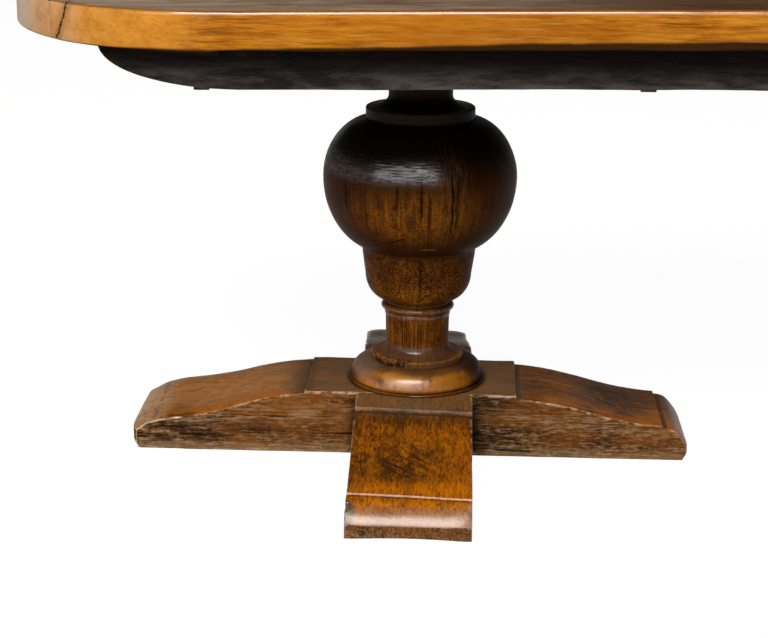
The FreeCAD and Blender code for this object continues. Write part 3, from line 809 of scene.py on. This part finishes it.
post = {
    "steps": 160, "fineness": 0.004, "cornerRadius": 0.0016, "oval": 0.0006, "uneven": 0.0005, "lean": 0.0016,
    "leanEnd": 0.69, "rippled": (0.440, 0.532, 0.0013), "rippleFull": (0.455, 0.515), "rippleGap": 0.0046,
    "ripple": 0.00011, "tenon": 0.030, "foot": 0.004, "seat": 0.138, "disc": 0.075, "discTop": 0.149,
    "shaft": 0.051, "shaftFoot": 0.164, "shaftTop": 0.2130, "ring": 0.0534, "ringTop": 0.2210, "bead": 0.0595,
    "beadFoot": 0.2225, "beadTop": 0.2345, "groove": 0.0520, "grooveTop": 0.2410, "cup": 0.086,
    "cupTurn": 0.283, "cupRim": 0.091, "cupTop": 0.3185, "waist": 0.0995, "waistTop": 0.3335, "bulb": 0.1555,
    "bulbMiddle": 0.4425, "lowCentre": 0.062, "lowDrop": 0.119, "highCentre": 0.0775, "highCrown": 0.0964,
    "shoulderTop": 0.5382, "collar": 0.087, "rimFoot": 0.5534, "rim": 0.0842, "collarTop": 0.5562,
    "neck": 0.051, "neckFoot": 0.5738, "neckTop": 0.645, "tip": 0.704,
    "ragged": (-70, -10, 0.0030, 0.0040),  # from and to angle, depth in and down
    "raggedRim": (0.064, 0.071), "raggedTop": 0.160, "brokenDirtAndShade": 0.34,
    "broken": {  # lumps gone from the disc's rim: angle, distance out, height, size, squash
        "left": [
            (-12, 0.0815, 0.1510, 0.0085, 0.9), (-19, 0.0795, 0.1490, 0.0105, 0.9),
            (-28, 0.0805, 0.1500, 0.0112, 1.0), (-36, 0.0785, 0.1495, 0.0110, 0.8),
            (-45, 0.0800, 0.1490, 0.0116, 1.0), (-53, 0.0790, 0.1500, 0.0110, 0.9),
            (-61, 0.0800, 0.1495, 0.0105, 0.9), (-68, 0.0815, 0.1510, 0.0085, 0.9),
        ],
        "right": [(35, 0.0805, 0.1530, 0.0100, 0.9), (43, 0.0800, 0.1525, 0.0108, 1.0)],
    },
}


def postProfile(p):
    middle = p["bulbMiddle"]
    low = -math.degrees(math.asin((middle - p["waistTop"]) / p["lowDrop"]))
    high = math.degrees(math.asin((p["shoulderTop"] - middle) / p["highCrown"]))
    points = [(p["tenon"], p["seat"]), (p["disc"], p["seat"])]

    def bend(out, level, edge, crest, *turn):  # an arc about a point, as far out as edge and as high as crest
        return arcPoints((p[out], p[level]), abs(p[edge] - p[out]), abs(p[crest] - p[level]), *turn)

    points += bend("disc", "shaftFoot", "shaft", "discTop", 270, 180)
    for under, over, out in (("shaftTop", "ringTop", "ring"), ("beadFoot", "beadTop", "bead")):
        rise = (p[over] - p[under]) / 2
        points += arcPoints((p["groove"], (p[under] + p[over]) / 2), p[out] - p["groove"], rise, -90, 90, 12)
    points += bend("groove", "cupTurn", "cup", "grooveTop", 270, 360, 14)
    points += bend("waist", "cupTop", "cupRim", "waistTop", 180, 90)
    points += arcPoints((p["lowCentre"], middle), p["bulb"] - p["lowCentre"], p["lowDrop"], low, 0, 36)[1:]
    points += arcPoints((p["highCentre"], middle), p["bulb"] - p["highCentre"], p["highCrown"], 0, high,
                        36)[1:]
    points += bend("rim", "rimFoot", "collar", "collarTop", 0, 90, 6)
    points += bend("rim", "neckFoot", "neck", "collarTop", 270, 180)
    points += [(p["neck"], p["neckTop"]), (p["tenon"], p["neckTop"])]
    points = refined(softened(points, p["cornerRadius"]), p["fineness"], p["rippled"])
    return [(0, p["foot"]), (p["tenon"], p["foot"])] + points + [(p["tenon"], p["tip"]), (0, p["tip"])]


def discSpot(axisX, facing, angle, out, z):  # angle from the side that faces out
    return (axisX + out * math.sin(math.radians(angle)), facing * out * math.cos(math.radians(angle)), z)


def makePost(side, axisX, facing, seed):
    p = post
    bm = turnedShape(postProfile(p), axisX, p["steps"])
    left, right, deep, sunk = p["ragged"]
    rippleLow, rippleHigh = p["rippled"][:2]
    fullLow, fullHigh = p["rippleFull"]
    for v in bm.verts:
        dx, dy, z = v.co.x - axisX, v.co.y, v.co.z
        r = math.hypot(dx, dy)
        if r < p["tenon"] + 0.001:
            continue
        angle = math.atan2(dy * -facing, dx)
        grow = p["oval"] * math.cos(2 * angle + seed) + p["uneven"] * wander(v.co, 0.05, seed)
        waves = z + 0.006 * wander((v.co.x * 0.5, v.co.y * 0.5, z), 0.013, seed)
        waves += 0.002 * wander(v.co, 0.006, seed + 4)
        rise = p["ripple"] * math.sin(2 * math.pi * waves / p["rippleGap"])
        grow += rise * ease(rippleLow, fullLow, z) * ease(rippleHigh, fullHigh, z)
        outward = math.degrees(math.atan2(dx, dy * facing))
        gone = ease(left, left + 8, outward) * ease(right, right - 6, outward) * ease(*p["raggedRim"], r)
        if p["seat"] + 0.001 < z < p["raggedTop"]:
            grow -= gone * deep * (0.5 + 0.7 * wander(v.co, 0.008, seed + 6))
            torn = gone * sunk * (0.5 + 0.7 * wander(v.co, 0.007, seed + 9))
            v.co.z -= torn * ease(p["seat"], p["discTop"], z)
        v.co.x, v.co.y = axisX + dx * (r + grow) / r, dy * (r + grow) / r
        leaning = facing * p["lean"] * ease(p["seat"], p["bulbMiddle"], z)
        v.co.x -= leaning * ease(p["leanEnd"], p["neckTop"], z)
    markWear(bm)
    lumps = [(discSpot(axisX, facing, a, out, z), size, (1.0, 1.0, tall))
             for a, out, z, size, tall in p["broken"][side]]
    bm = gouged(bm, lumps, seed, p["brokenDirtAndShade"])
    finish = turnedOak(side + "PostOak", axisX, facing, seed)
    return addPiece(side + "Post", bm, finish, "turned_oak", side + "_post")


baseRing = {
    "steps": 160, "fineness": 0.004, "cornerRadius": 0.001, "uneven": 0.0006, "bore": 0.0303, "foot": 0.104,
    "fillet": 0.1112, "filletTop": 0.1058, "ring": 0.1085, "middle": 0.1125, "under": 0.008, "top": 0.138,
    # the long upper curve, from the widest point
    "swell": [(0.1085, 0.1125), (0.1062, 0.1285), (0.1000, 0.1380), (0.0785, 0.1380)],
}


def makeRing(side, axisX, facing, seed):
    p = baseRing
    points = [(p["bore"], p["foot"]), (p["fillet"], p["foot"]), (p["fillet"], p["filletTop"])]
    centre = (p["ring"] - p["under"], p["middle"])
    points += arcPoints(centre, p["under"], p["middle"] - p["filletTop"], 270, 360)
    a, b, c, d = (Vector(corner) for corner in p["swell"])
    points += [tuple(a * (1 - t) ** 3 + b * 3 * t * (1 - t) ** 2 + c * 3 * t * t * (1 - t) + d * t ** 3)
               for t in spread(0, 1, 22)[1:]]
    points += [(p["bore"], p["top"])]
    points = refined(softened(points, p["cornerRadius"]), p["fineness"]) + [(p["bore"], p["foot"])]
    bm = turnedShape(points, axisX, p["steps"])
    for v in bm.verts:
        r = math.hypot(v.co.x - axisX, v.co.y)
        if r > 0.04 and v.co.z > p["foot"] + 0.001:
            grow = p["uneven"] * wander(v.co, 0.04, seed)
            v.co.x, v.co.y = axisX + (v.co.x - axisX) * (r + grow) / r, v.co.y * (r + grow) / r
    markWear(bm)
    finish = turnedOak(side + "RingOak", axisX, facing, seed + 3, ring=True)
    return addPiece(side + "BaseRing", bm, finish, "turned_oak", side + "_base_ring")


pedestalX = 0.69
pedestals = {"left": (-pedestalX, -1, 1.0), "right": (pedestalX, 1, 6.0)}  # axis, side that faces out, seed
for side, (axisX, facing, seed) in pedestals.items():
    makePost(side, axisX, facing, seed)
    makeRing(side, axisX, facing, seed)
print("posts and base rings turned")


# Crossed feet, halved over each other

foot = {
    "width": 0.185, "height": 0.104, "run": 0.0018, "lap": 0.052, "notch": 0.0925, "slit": 0.0002,
    "lipRun": 0.0014, "arris": 0.0030, "cutsOver": 22, "levels": 9, "columns": 96, "rough": 0.0009,
    "arch": 0.0035, "tipMarks": (0.0003, 0.0010, 0.0022), "chipDirtAndShade": 0.30,
    "toeZone": (0.03, 0.004), "archZone": 0.05, "heelTop": 0.014, "soleTop": 0.02,
    "slantZone": ((0.10, 0.165), (0.44, 0.405)),
}
plainArm = {
    "reach": 0.447, "raised": 0.170, "ridgeAt": 0.393, "ridge": 0.0560, "drop": 0.0035, "toe": 0.022,
    "nose": 1.7, "round": 0.72, "lift": 0.0, "skew": 0.0, "slant": 0.0, "soft": 1, "plan": 0.003,
    "crown": 0.0, "heel": 0.005, "step": 0.006, "veer": 0.0,
}
# What sets each arm apart: lift raises, skew lengthens and slant turns its far edge, veer swings it,
# plan and crown round the toe from above and across, heel rounds it below, soft counts rounds of rubbing
arms = {
    "leftLong": (
        {
            "reach": 0.4640, "raised": 0.178, "ridgeAt": 0.400, "drop": 0.0008, "toe": 0.034, "nose": 1.5,
            "round": 0.90, "lift": 0.010, "skew": -0.004, "soft": 6, "plan": 0.009, "crown": 0.003,
            "step": 0.0035,
        },
        {
            "reach": 0.443, "raised": 0.163, "ridgeAt": 0.400, "ridge": 0.0570, "drop": 0.0045, "toe": 0.021,
            "nose": 2.5, "round": 0.88, "lift": -0.001, "soft": 2, "plan": 0.004,
        },
    ),
    "leftCross": (
        {
            "ridgeAt": 0.400, "ridge": 0.0510, "drop": 0.0030, "toe": 0.0215, "nose": 3.0, "round": 0.92,
            "slant": -0.007, "heel": 0.0, "veer": -0.008,
        },
        {"ridge": 0.0660, "toe": 0.030, "nose": 2.2, "soft": 4, "plan": 0.005, "crown": 0.006, "veer": 0.043},
    ),
    "rightLong": (
        {"reach": 0.445, "drop": 0.003, "soft": 3}, {"toe": 0.025, "nose": 1.4, "round": 0.85, "soft": 5},
    ),
    "rightCross": ({"ridge": 0.0560, "soft": 3}, {"ridgeAt": 0.397, "toe": 0.023, "soft": 4}),
}
footChips = {  # broken out of the cross feet: place from the post's axis, size, squash
    "left": [((-0.0930, -0.4310, 0.0520), 0.0180, (1.0, 1.2, 0.85)),
             ((-0.0965, -0.4170, 0.0400), 0.0105, (0.9, 0.9, 1.2)),
             ((-0.0870, -0.4450, 0.0400), 0.0095, (1.4, 0.8, 0.9))],
    "right": [((0.097, 0.440, 0.030), 0.015, (1.0, 1.0, 1.0))],
}


def footTop(s, arm):
    p, start = foot, arm["raised"] + foot["run"]
    if s <= arm["raised"]:
        return p["height"]
    if s <= start:
        return p["height"] - arm["step"] * (s - arm["raised"]) / p["run"]
    if s <= arm["ridgeAt"]:
        t = (s - start) / (arm["ridgeAt"] - start)
        fall = 0.65 * (2 * t * t if t < 0.5 else 1 - 2 * (1 - t) ** 2) + 0.35 * t
        return p["height"] - arm["step"] - (p["height"] - arm["step"] - arm["ridge"]) * fall
    t = min(1.0, (s - arm["ridgeAt"]) / (arm["reach"] - arm["ridgeAt"]))
    high = arm["ridge"] - arm["drop"] * min(1.0, t / 0.03)
    return arm["toe"] + (high - arm["toe"]) * (1 - t ** arm["nose"]) ** arm["round"]


def wornFoot(bm, pair, seed):  # gives each arm its own toe, and every face some unevenness
    p, half, sole = foot, foot["width"] / 2, foot["soleTop"]
    toeStart, toeEnd = p["toeZone"]
    rising, falling = p["slantZone"]
    for v in bm.verts:
        if abs(v.co.x) < p["notch"] + 0.002 and v.co.z < p["height"] - 0.01:
            continue
        arm, sign, s = pair[v.co.x > 0], 1 if v.co.x > 0 else -1, abs(v.co.x)
        far, outer = ease(-half, half, v.co.y), abs(v.co.y / half) ** 9
        atToe = ease(arm["reach"] - toeStart, arm["reach"] - toeEnd, s)
        onArm = ease(arm["raised"], arm["ridgeAt"], s)
        tall = min(1.0, v.co.z / max(sole, footTop(min(s, arm["reach"]), arm)))
        v.co.z += arm["lift"] * far * tall * onArm
        slanted = arm["slant"] * v.co.y / half * ease(*rising, s) * ease(*falling, s)
        v.co.x += sign * (arm["skew"] * far * ease(0.3, arm["reach"], s) + slanted)
        v.co.x -= sign * arm["plan"] * outer * atToe
        v.co.x -= sign * arm["heel"] * ease(p["heelTop"], 0.0, v.co.z) ** 2 * atToe
        v.co.z -= arm["crown"] * outer * tall * onArm
        v.co.y += arm["veer"] * max(0.0, s - p["notch"])
        lump = wander(v.co, 0.07, seed) * 0.9 + wander(v.co, 0.022, seed + 1) * 0.4
        v.co.z += p["rough"] * lump * ease(0.0, sole, v.co.z)
        v.co.y += p["rough"] * wander(v.co, 0.05, seed + 2) * (1 if v.co.y > 0 else -1)
        hollow = p["arch"] * max(0.0, 1 - v.co.z / sole) * max(0.0, 1 - (v.co.y / half) ** 2)
        v.co.z += hollow * ease(arm["reach"] - p["archZone"], arm["reach"], s)  # toes stand on their corners


def makeFoot(side, axisX, across, seed):
    p, half = foot, foot["width"] / 2
    name = side + ("Cross" if across else "Long")
    pair = [dict(plainArm, **changes) for changes in arms[name]]
    columns = []
    for arm, sign in zip(pair, (-1, 1)):
        marks = spread(0, arm["reach"], p["columns"]) + [p["notch"] - p["slit"], p["notch"] + p["slit"]]
        marks += [arm["raised"], arm["raised"] + p["run"], arm["ridgeAt"], arm["ridgeAt"] + p["lipRun"]]
        marks += [arm["reach"] - d for d in p["tipMarks"]]
        columns += [sign * round(m, 5) for m in marks if sign > 0 or m > 0]

    def corner(s, t):
        inNotch = abs(s) < p["notch"]
        low = p["lap"] if inNotch and not across else 0.0
        high = p["lap"] if inNotch and across else footTop(abs(s), pair[s > 0])
        return s, -half, low + (high - low) * t

    bm = sideShape(sorted(set(columns)), p["levels"], corner, (0, p["width"], 0))
    overEdges = [e for e in bm.edges if abs(e.verts[0].co.y - e.verts[1].co.y) > 0.1]
    bmesh.ops.subdivide_edges(bm, edges=overEdges, cuts=p["cutsOver"], use_grid_fill=True)
    arrises = [e for e in sharpEdges(bm, 50)
               if all(abs(v.co.x) > p["notch"] + 0.002 or v.co.z > p["height"] - 0.001 for v in e.verts)]
    bevelled(bm, arrises, p["arris"], 3, clamp_overlap=True)
    for arm, sign in zip(pair, (-1, 1)):
        toe = [v for v in bm.verts if v.co.x * sign > arm["ridgeAt"] - 0.02]
        for _ in range(arm["soft"]):
            bmesh.ops.smooth_vert(bm, verts=toe, factor=0.5, use_axis_x=True, use_axis_y=True,
                                  use_axis_z=True)
    wornFoot(bm, pair, seed)
    if across:
        bmesh.ops.rotate(bm, verts=bm.verts, cent=(0, 0, 0), matrix=Matrix.Rotation(math.radians(90), 3, "Z"))
    bmesh.ops.translate(bm, verts=bm.verts, vec=(axisX, 0, 0))
    markWear(bm, gain=11.0, rounds=1)
    if across:
        chips = [((axisX + x, y, z), size, squash) for (x, y, z), size, squash in footChips[side]]
        bm = gouged(bm, chips, seed, p["chipDirtAndShade"])
    finish = footOak(name + "FootOak", axisX, across, seed, pair[0]["slant"])
    return addPiece(name + "Foot", bm, finish, "foot_oak", side + ("_cross_foot" if across else "_long_foot"))


for side, (axisX, facing, seed) in pedestals.items():
    makeFoot(side, axisX, False, seed + 0.4)
    makeFoot(side, axisX, True, seed + 0.8)
print("feet cut")


# Top: four boards between two end cleats

def crook(x):  # with age the top and its rails have dropped at the ends
    return top["crook"] * math.cos(math.pi * x / top["crookSpan"])


def bowX(y):
    p = top
    return p["half"] - p["bow"] + p["bow"] * math.sqrt(max(0.0, 1 - (y / p["halfWidth"]) ** 2))


def bowY(x):
    p = top
    t = (x - (p["half"] - p["bow"])) / p["bow"]
    return p["halfWidth"] * math.sqrt(max(0.0, 1 - t * t))


def runPoints(a, b, step):  # points along a straight run, without its end
    count = max(1, round((Vector(b) - Vector(a)).length / step))
    return [(a[0] + (b[0] - a[0]) * i / count, a[1] + (b[1] - a[1]) * i / count) for i in range(count)]


def boardPlan(y0, y1):
    p = top
    joint, step = p["joint"], p["edgeStep"]
    if min(y0, y1) > -bowY(joint) and max(y0, y1) < bowY(joint):
        return [(-joint, y0), (joint, y0), (joint, y1), (-joint, y1)]
    sign = -1 if y0 < 0 else 1
    inner, outer = (y1, y0) if sign < 0 else (y0, y1)
    start = p["half"] - p["bow"]
    turn = math.degrees(math.acos((joint - start) / p["bow"]))
    corner = [(x, sign * y) for x, y in arcPoints((start, 0.0), p["bow"], p["halfWidth"], 90, turn, 24)]
    outline = runPoints((-start, outer), (start, outer), step) + corner + [(joint, inner), (-joint, inner)]
    outline += [(-x, y) for x, y in reversed(corner)][:-1]
    return outline if sign < 0 else outline[::-1]


def cleatPlan(sign):
    limit = bowY(top["joint"])
    outline = [(sign * bowX(y), y) for y in spread(-limit, limit, 44)]
    return outline if sign > 0 else outline[::-1]


def isOuter(x, y):  # on the outline of the whole top
    p = top
    if abs(x) <= p["half"] - p["bow"]:
        return abs(abs(y) - p["halfWidth"]) < 1e-4
    return abs(abs(x) - bowX(y)) < 1e-4


def edgeDistance(x, y):
    p = top
    if abs(x) < p["half"] - p["bow"]:
        return p["halfWidth"] - abs(y)
    return bowX(y if abs(y) < p["halfWidth"] else p["halfWidth"]) - abs(x)


def makeBoard(name, node, plan, across, seed, wane, shade):
    p = top
    bm = bmesh.new()
    bm.faces.new([bm.verts.new((x, y, p["low"])) for x, y in plan])
    thickened(bm, (0, 0, p["high"] - p["low"]))
    for height, size, count in ((p["high"], p["round"], 6), (p["low"], p["underRound"], 3)):
        level = [e for e in bm.edges
                 if all(abs(v.co.z - height) < 1e-6 and isOuter(v.co.x, v.co.y) for v in e.verts)]
        outer = [e for e in level
                 if isOuter(*((e.verts[0].co + e.verts[1].co) / 2).xy[:]) or e.calc_length() < 0.06]
        bevelled(bm, outer, size, count, clamp_overlap=True)
    seams = [e for e in sharpEdges(bm, 60) if all(abs(v.co.z - p["high"]) < 1e-5 for v in e.verts)]
    bevelled(bm, seams, p["seam"], 1, clamp_overlap=True)
    flats = [f for f in bm.faces if abs(f.normal.z) > 0.999 and f.calc_area() > 0.002]
    bmesh.ops.inset_region(bm, faces=flats, thickness=p["inset"], use_even_offset=True, use_boundary=True)
    for cutX in spread(-p["joint"], p["joint"], p["slices"])[1:-1]:
        bmesh.ops.bisect_plane(bm, geom=bm.verts[:] + bm.edges[:] + bm.faces[:], plane_co=(cutX, 0, 0),
                               plane_no=(1, 0, 0), dist=1e-5)
    for v in bm.verts:
        edgeOff = edgeDistance(v.co.x, v.co.y)
        if edgeOff < p["edgeZone"]:
            push = p["wave"] * (wander(v.co, 0.11, seed) + 0.5 * wander(v.co, 0.03, seed + 2))
            v.co.y -= math.copysign(abs(push), v.co.y) * ease(0.0, 0.3, abs(v.co.y))
            if v.co.z < p["low"] + p["edgeZone"]:
                bite = 0.5 + 0.5 * wander((v.co.x, 0, 0), 0.09, seed + 5)
                v.co.z += bite * p["waneDepth"] * ease(p["edgeZone"], 0.0, edgeOff) * 0.5
        v.co.z += crook(v.co.x) + p["plump"] * (v.co.z - p["low"]) / (p["high"] - p["low"])
    bmesh.ops.recalc_face_normals(bm, faces=bm.faces)
    return addPiece(name, bm, topOak(name + "Oak", across, seed, wane, shade), "top_oak", node, sharp=50)


lane = 2 * top["halfWidth"] / len(top["boards"])
for number, node in enumerate(top["boards"]):
    y0 = -top["halfWidth"] + lane * number
    words = node.split("_")
    name = words[0] + "".join(w.capitalize() for w in words[1:])
    shade = top["shades"][number]
    makeBoard(name, node, boardPlan(y0, y0 + lane), False, 1.3 + 2.1 * number, number in (0, 3), shade)
for sign, side in ((-1, "left"), (1, "right")):
    node, shade = side + "_end_cleat", top["cleatShade"]
    makeBoard(side + "EndCleat", node, cleatPlan(sign), True, 11.0 + sign, False, shade)
print("top laid")


# Rails and bearers under the top

rail = {
    "low": 0.645, "high": 0.708, "tip": 1.122, "end": 0.195, "inset": 0.390, "thick": 0.045, "arris": 0.003,
    "rough": 0.0011, "deeper": 0.0015, "columns": 60, "endColumns": 22, "levels": 4,
}


def makeRail(name, node, sign, seed):
    p = rail
    start, deep = p["tip"] - p["end"], p["high"] - p["low"]
    marks = spread(0, start, p["columns"])
    marks += [start + p["end"] * math.sin(math.radians(a)) for a in spread(0, 88, p["endColumns"])[1:]]

    def corner(s, t):
        turn = max(0.0, (abs(s) - start) / p["end"])
        low = p["high"] - deep * math.sqrt(1 - turn * turn)
        return s, sign * p["inset"], low + (p["high"] - low) * t

    columns = [-m for m in reversed(marks[1:])] + marks
    bm = sideShape(columns, p["levels"], corner, (0, -sign * p["thick"], 0))
    arrises = [e for e in sharpEdges(bm, 60) if max(v.co.z for v in e.verts) < p["high"] - 0.004]
    bevelled(bm, arrises, p["arris"], 3, clamp_overlap=True)
    for v in bm.verts:
        if v.co.z < p["high"] - 0.001:
            v.co.z += p["rough"] * (wander(v.co, 0.13, seed) + 0.4 * wander(v.co, 0.03, seed))
            v.co.y += p["rough"] * 0.6 * wander(v.co, 0.09, seed + 3)
        v.co.z += crook(v.co.x) - p["deeper"] * (p["high"] - v.co.z) / deep
    markWear(bm)
    return addPiece(name, bm, railOak(name + "Oak", False, seed), "rail_oak", node)


makeRail("frontRail", "front_rail", -1, 2.0)
makeRail("backRail", "back_rail", 1, 7.0)


bearer = {"arris": 0.0025, "cuts": 12, "rough": 0.0008}


def makeBearer(side, seed):
    p = bearer
    low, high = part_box(side + "_bearer")
    bm = bmesh.new()
    bmesh.ops.create_cube(bm, size=1)
    for v in bm.verts:
        v.co = Vector(high[i] if v.co[i] > 0 else low[i] for i in range(3))
    bevelled(bm, bm.edges[:], p["arris"], 2)
    longEdges = [e for e in bm.edges if abs(e.verts[0].co.y - e.verts[1].co.y) > 0.2]
    bmesh.ops.subdivide_edges(bm, edges=longEdges, cuts=p["cuts"], use_grid_fill=True)
    for v in bm.verts:
        if v.co.z < high.z - 0.004:
            v.co.z += p["rough"] * abs(wander(v.co, 0.1, seed))
        v.co.z += crook(v.co.x)
    markWear(bm)
    finish = railOak(side + "BearerOak", True, seed)
    return addPiece(side + "Bearer", bm, finish, "rail_oak", side + "_bearer")


for seed, side in enumerate(("left", "middle", "right")):
    makeBearer(side, seed + 12.0)
print("rails and bearers set")


# Square-headed screws up through the rails and bearers

screws = {
    "head": 0.022, "thick": 0.005, "bevel": 0.0013, "shank": 0.005, "top": 0.740, "turned": 14,
    "rails": [(0.982, 0.3675, 0.6463), (0.366, 0.3675, 0.6435)], "bearers": (-pedestalX, 0.0, pedestalX),
    "across": (-0.3025, -0.1225, 0.1225, 0.3025), "bearerLow": 0.645,
}


def makeScrews():
    p = screws
    bm = bmesh.new()
    places = [(a * x, b * y, seat) for x, y, seat in p["rails"] for a in (-1, 1) for b in (-1, 1)]
    places += [(x, y, p["bearerLow"]) for x in p["bearers"] for y in p["across"]]
    for x, y, seat in places:
        seat += crook(x)
        turn = Matrix.Rotation(math.radians(p["turned"] * wander((x, y, seat), 0.07, 3.0)), 4, "Z")
        block = Matrix.Diagonal((p["head"], p["head"], p["thick"], 1))
        shape = Matrix.Translation((x, y, seat - p["thick"] / 2)) @ turn @ block
        corners = bmesh.ops.create_cube(bm, size=1, matrix=shape)["verts"]
        bevelled(bm, list(dict.fromkeys(e for v in corners for e in v.link_edges)), p["bevel"], 2)
        middle = Matrix.Translation((x, y, (p["top"] + seat) / 2))
        bmesh.ops.create_cone(bm, cap_ends=True, segments=20, radius1=p["shank"], radius2=p["shank"],
                              depth=p["top"] - seat, matrix=middle)
    bmesh.ops.recalc_face_normals(bm, faces=bm.faces)
    return addPiece("coachScrews", bm, oldIron("screwIron"), "iron", "coach_screws")


makeScrews()
print("screws driven")


# Small pieces that keep the frame's own shape

smallLooks = {
    "tongue": jointOak("tongueOak", (128, 88, 48)), "pegs": jointOak("pegOak", (112, 70, 32)),
    "wedge": jointOak("wedgeOak", (120, 84, 46)),
}
for name, node in nodes.items():
    for word, finish in smallLooks.items():
        if name.endswith(word):
            node.data.materials.clear()
            node.data.materials.append(finish)
print("small pieces finished")


# Floor, light and camera

stage = {
    "floorSize": 90.0, "floorTone": 0.55, "seenGlow": 0.96, "seenTone": 0.12, "roomTone": 0.05,
    "backGlow": 0.42,
}
bm = bmesh.new()
bmesh.ops.create_grid(bm, x_segments=1, y_segments=1, size=stage["floorSize"])
floorMesh = bpy.data.meshes.new("floor")
bm.to_mesh(floorMesh)
bm.free()
floor = linked(bpy.data.objects.new("floor", floorMesh))
paper = bpy.data.materials.new("paperFloor")
paper.use_nodes = True
paper.node_tree.nodes.clear()
bench = Bench(paper.node_tree)
path = {socket.name: Wire(bench, socket) for socket in bench.put("LightPath").outputs}
seen = path["Is Camera Ray"] | path["Is Glossy Ray"] | path["Is Transmission Ray"]
glow = bench.wire("Emission", 0, Color=(1, 1, 1, 1), Strength=stage["seenGlow"])
matte = bench.wire("BsdfDiffuse", 0, Color=(stage["seenTone"],) * 3 + (1,))
plain = bench.wire("BsdfDiffuse", 0, Color=(stage["floorTone"],) * 3 + (1,))
white, either = bench.put("AddShader"), bench.put("MixShader", Fac=seen)
bench.feed(white.inputs[0], glow)
bench.feed(white.inputs[1], matte)
bench.feed(either.inputs[1], plain)
bench.feed(either.inputs[2], Wire(bench, white.outputs[0]))
bench.put("OutputMaterial", Surface=Wire(bench, either.outputs[0]))
floorMesh.materials.append(paper)

world = bpy.data.worlds.new("room")
world.use_nodes = True
bpy.context.scene.world = world
world.node_tree.nodes.clear()
bench = Bench(world.node_tree)
across, away, upward = bench.split(bench.wire("TexCoord", "Generated"))
# Low light behind the table and to its left
backBand = (away.ease(0.1, 0.8) | across.ease(-0.3, -0.9)) * upward.ease(0.30, 0.15)
strength = backBand * stage["backGlow"] + stage["roomTone"]
glow = bench.wire("Background", 0, Color=(1.0, 0.99, 0.97, 1), Strength=strength)
bench.put("OutputWorld", Surface=glow)


def addLamp(name, place, aim, width, height, power, colour):
    lamp = bpy.data.lights.new(name, "AREA")
    lamp.shape, lamp.size, lamp.size_y, lamp.energy, lamp.color = "RECTANGLE", width, height, power, colour
    holder = linked(bpy.data.objects.new(name, lamp))
    holder.location = place
    holder.rotation_euler = (Vector(aim) - Vector(place)).to_track_quat("-Z", "Y").to_euler()


lamps = {  # place, aim, width, height, power, colour
    "keySoftbox": ((-1.9, -5.2, 5.4), (-0.6, 0.0, 0.35), 5.0, 3.0, 430, (1.0, 0.97, 0.92)),
    "window": ((-2.3, -5.6, 2.35), (-0.69, 0.0, 0.45), 9.0, 2.6, 150, (0.95, 0.96, 1.0)),
}
for name, values in lamps.items():
    addLamp(name, *values)

camera = {
    "lens": 84.36, "sensor": 36.0, "farthest": 300.0, "place": (-0.6075, -2.8423, 1.0371), "pitch": 16.371,
    "roll": 0.35, "yaw": -2.766,
}
lens = bpy.data.cameras.new("photoCamera")
lens.sensor_fit, lens.sensor_width, lens.lens = "HORIZONTAL", camera["sensor"], camera["lens"]
lens.clip_end = camera["farthest"]
viewer = linked(bpy.data.objects.new("photoCamera", lens))
pitch, roll, yaw = (math.radians(camera[key]) for key in ("pitch", "roll", "yaw"))
forward = Vector((math.sin(yaw) * math.cos(pitch), math.cos(yaw) * math.cos(pitch), -math.sin(pitch)))
level = Vector((math.cos(yaw), -math.sin(yaw), 0))
right = level * math.cos(roll) + level.cross(forward) * math.sin(roll)
turned = Matrix((right, right.cross(forward), -forward)).transposed().to_4x4()
viewer.matrix_world = Matrix.Translation(camera["place"]) @ turned
bpy.context.scene.camera = viewer
bpy.context.scene.view_settings.view_transform = "Standard"

print("scene ready")
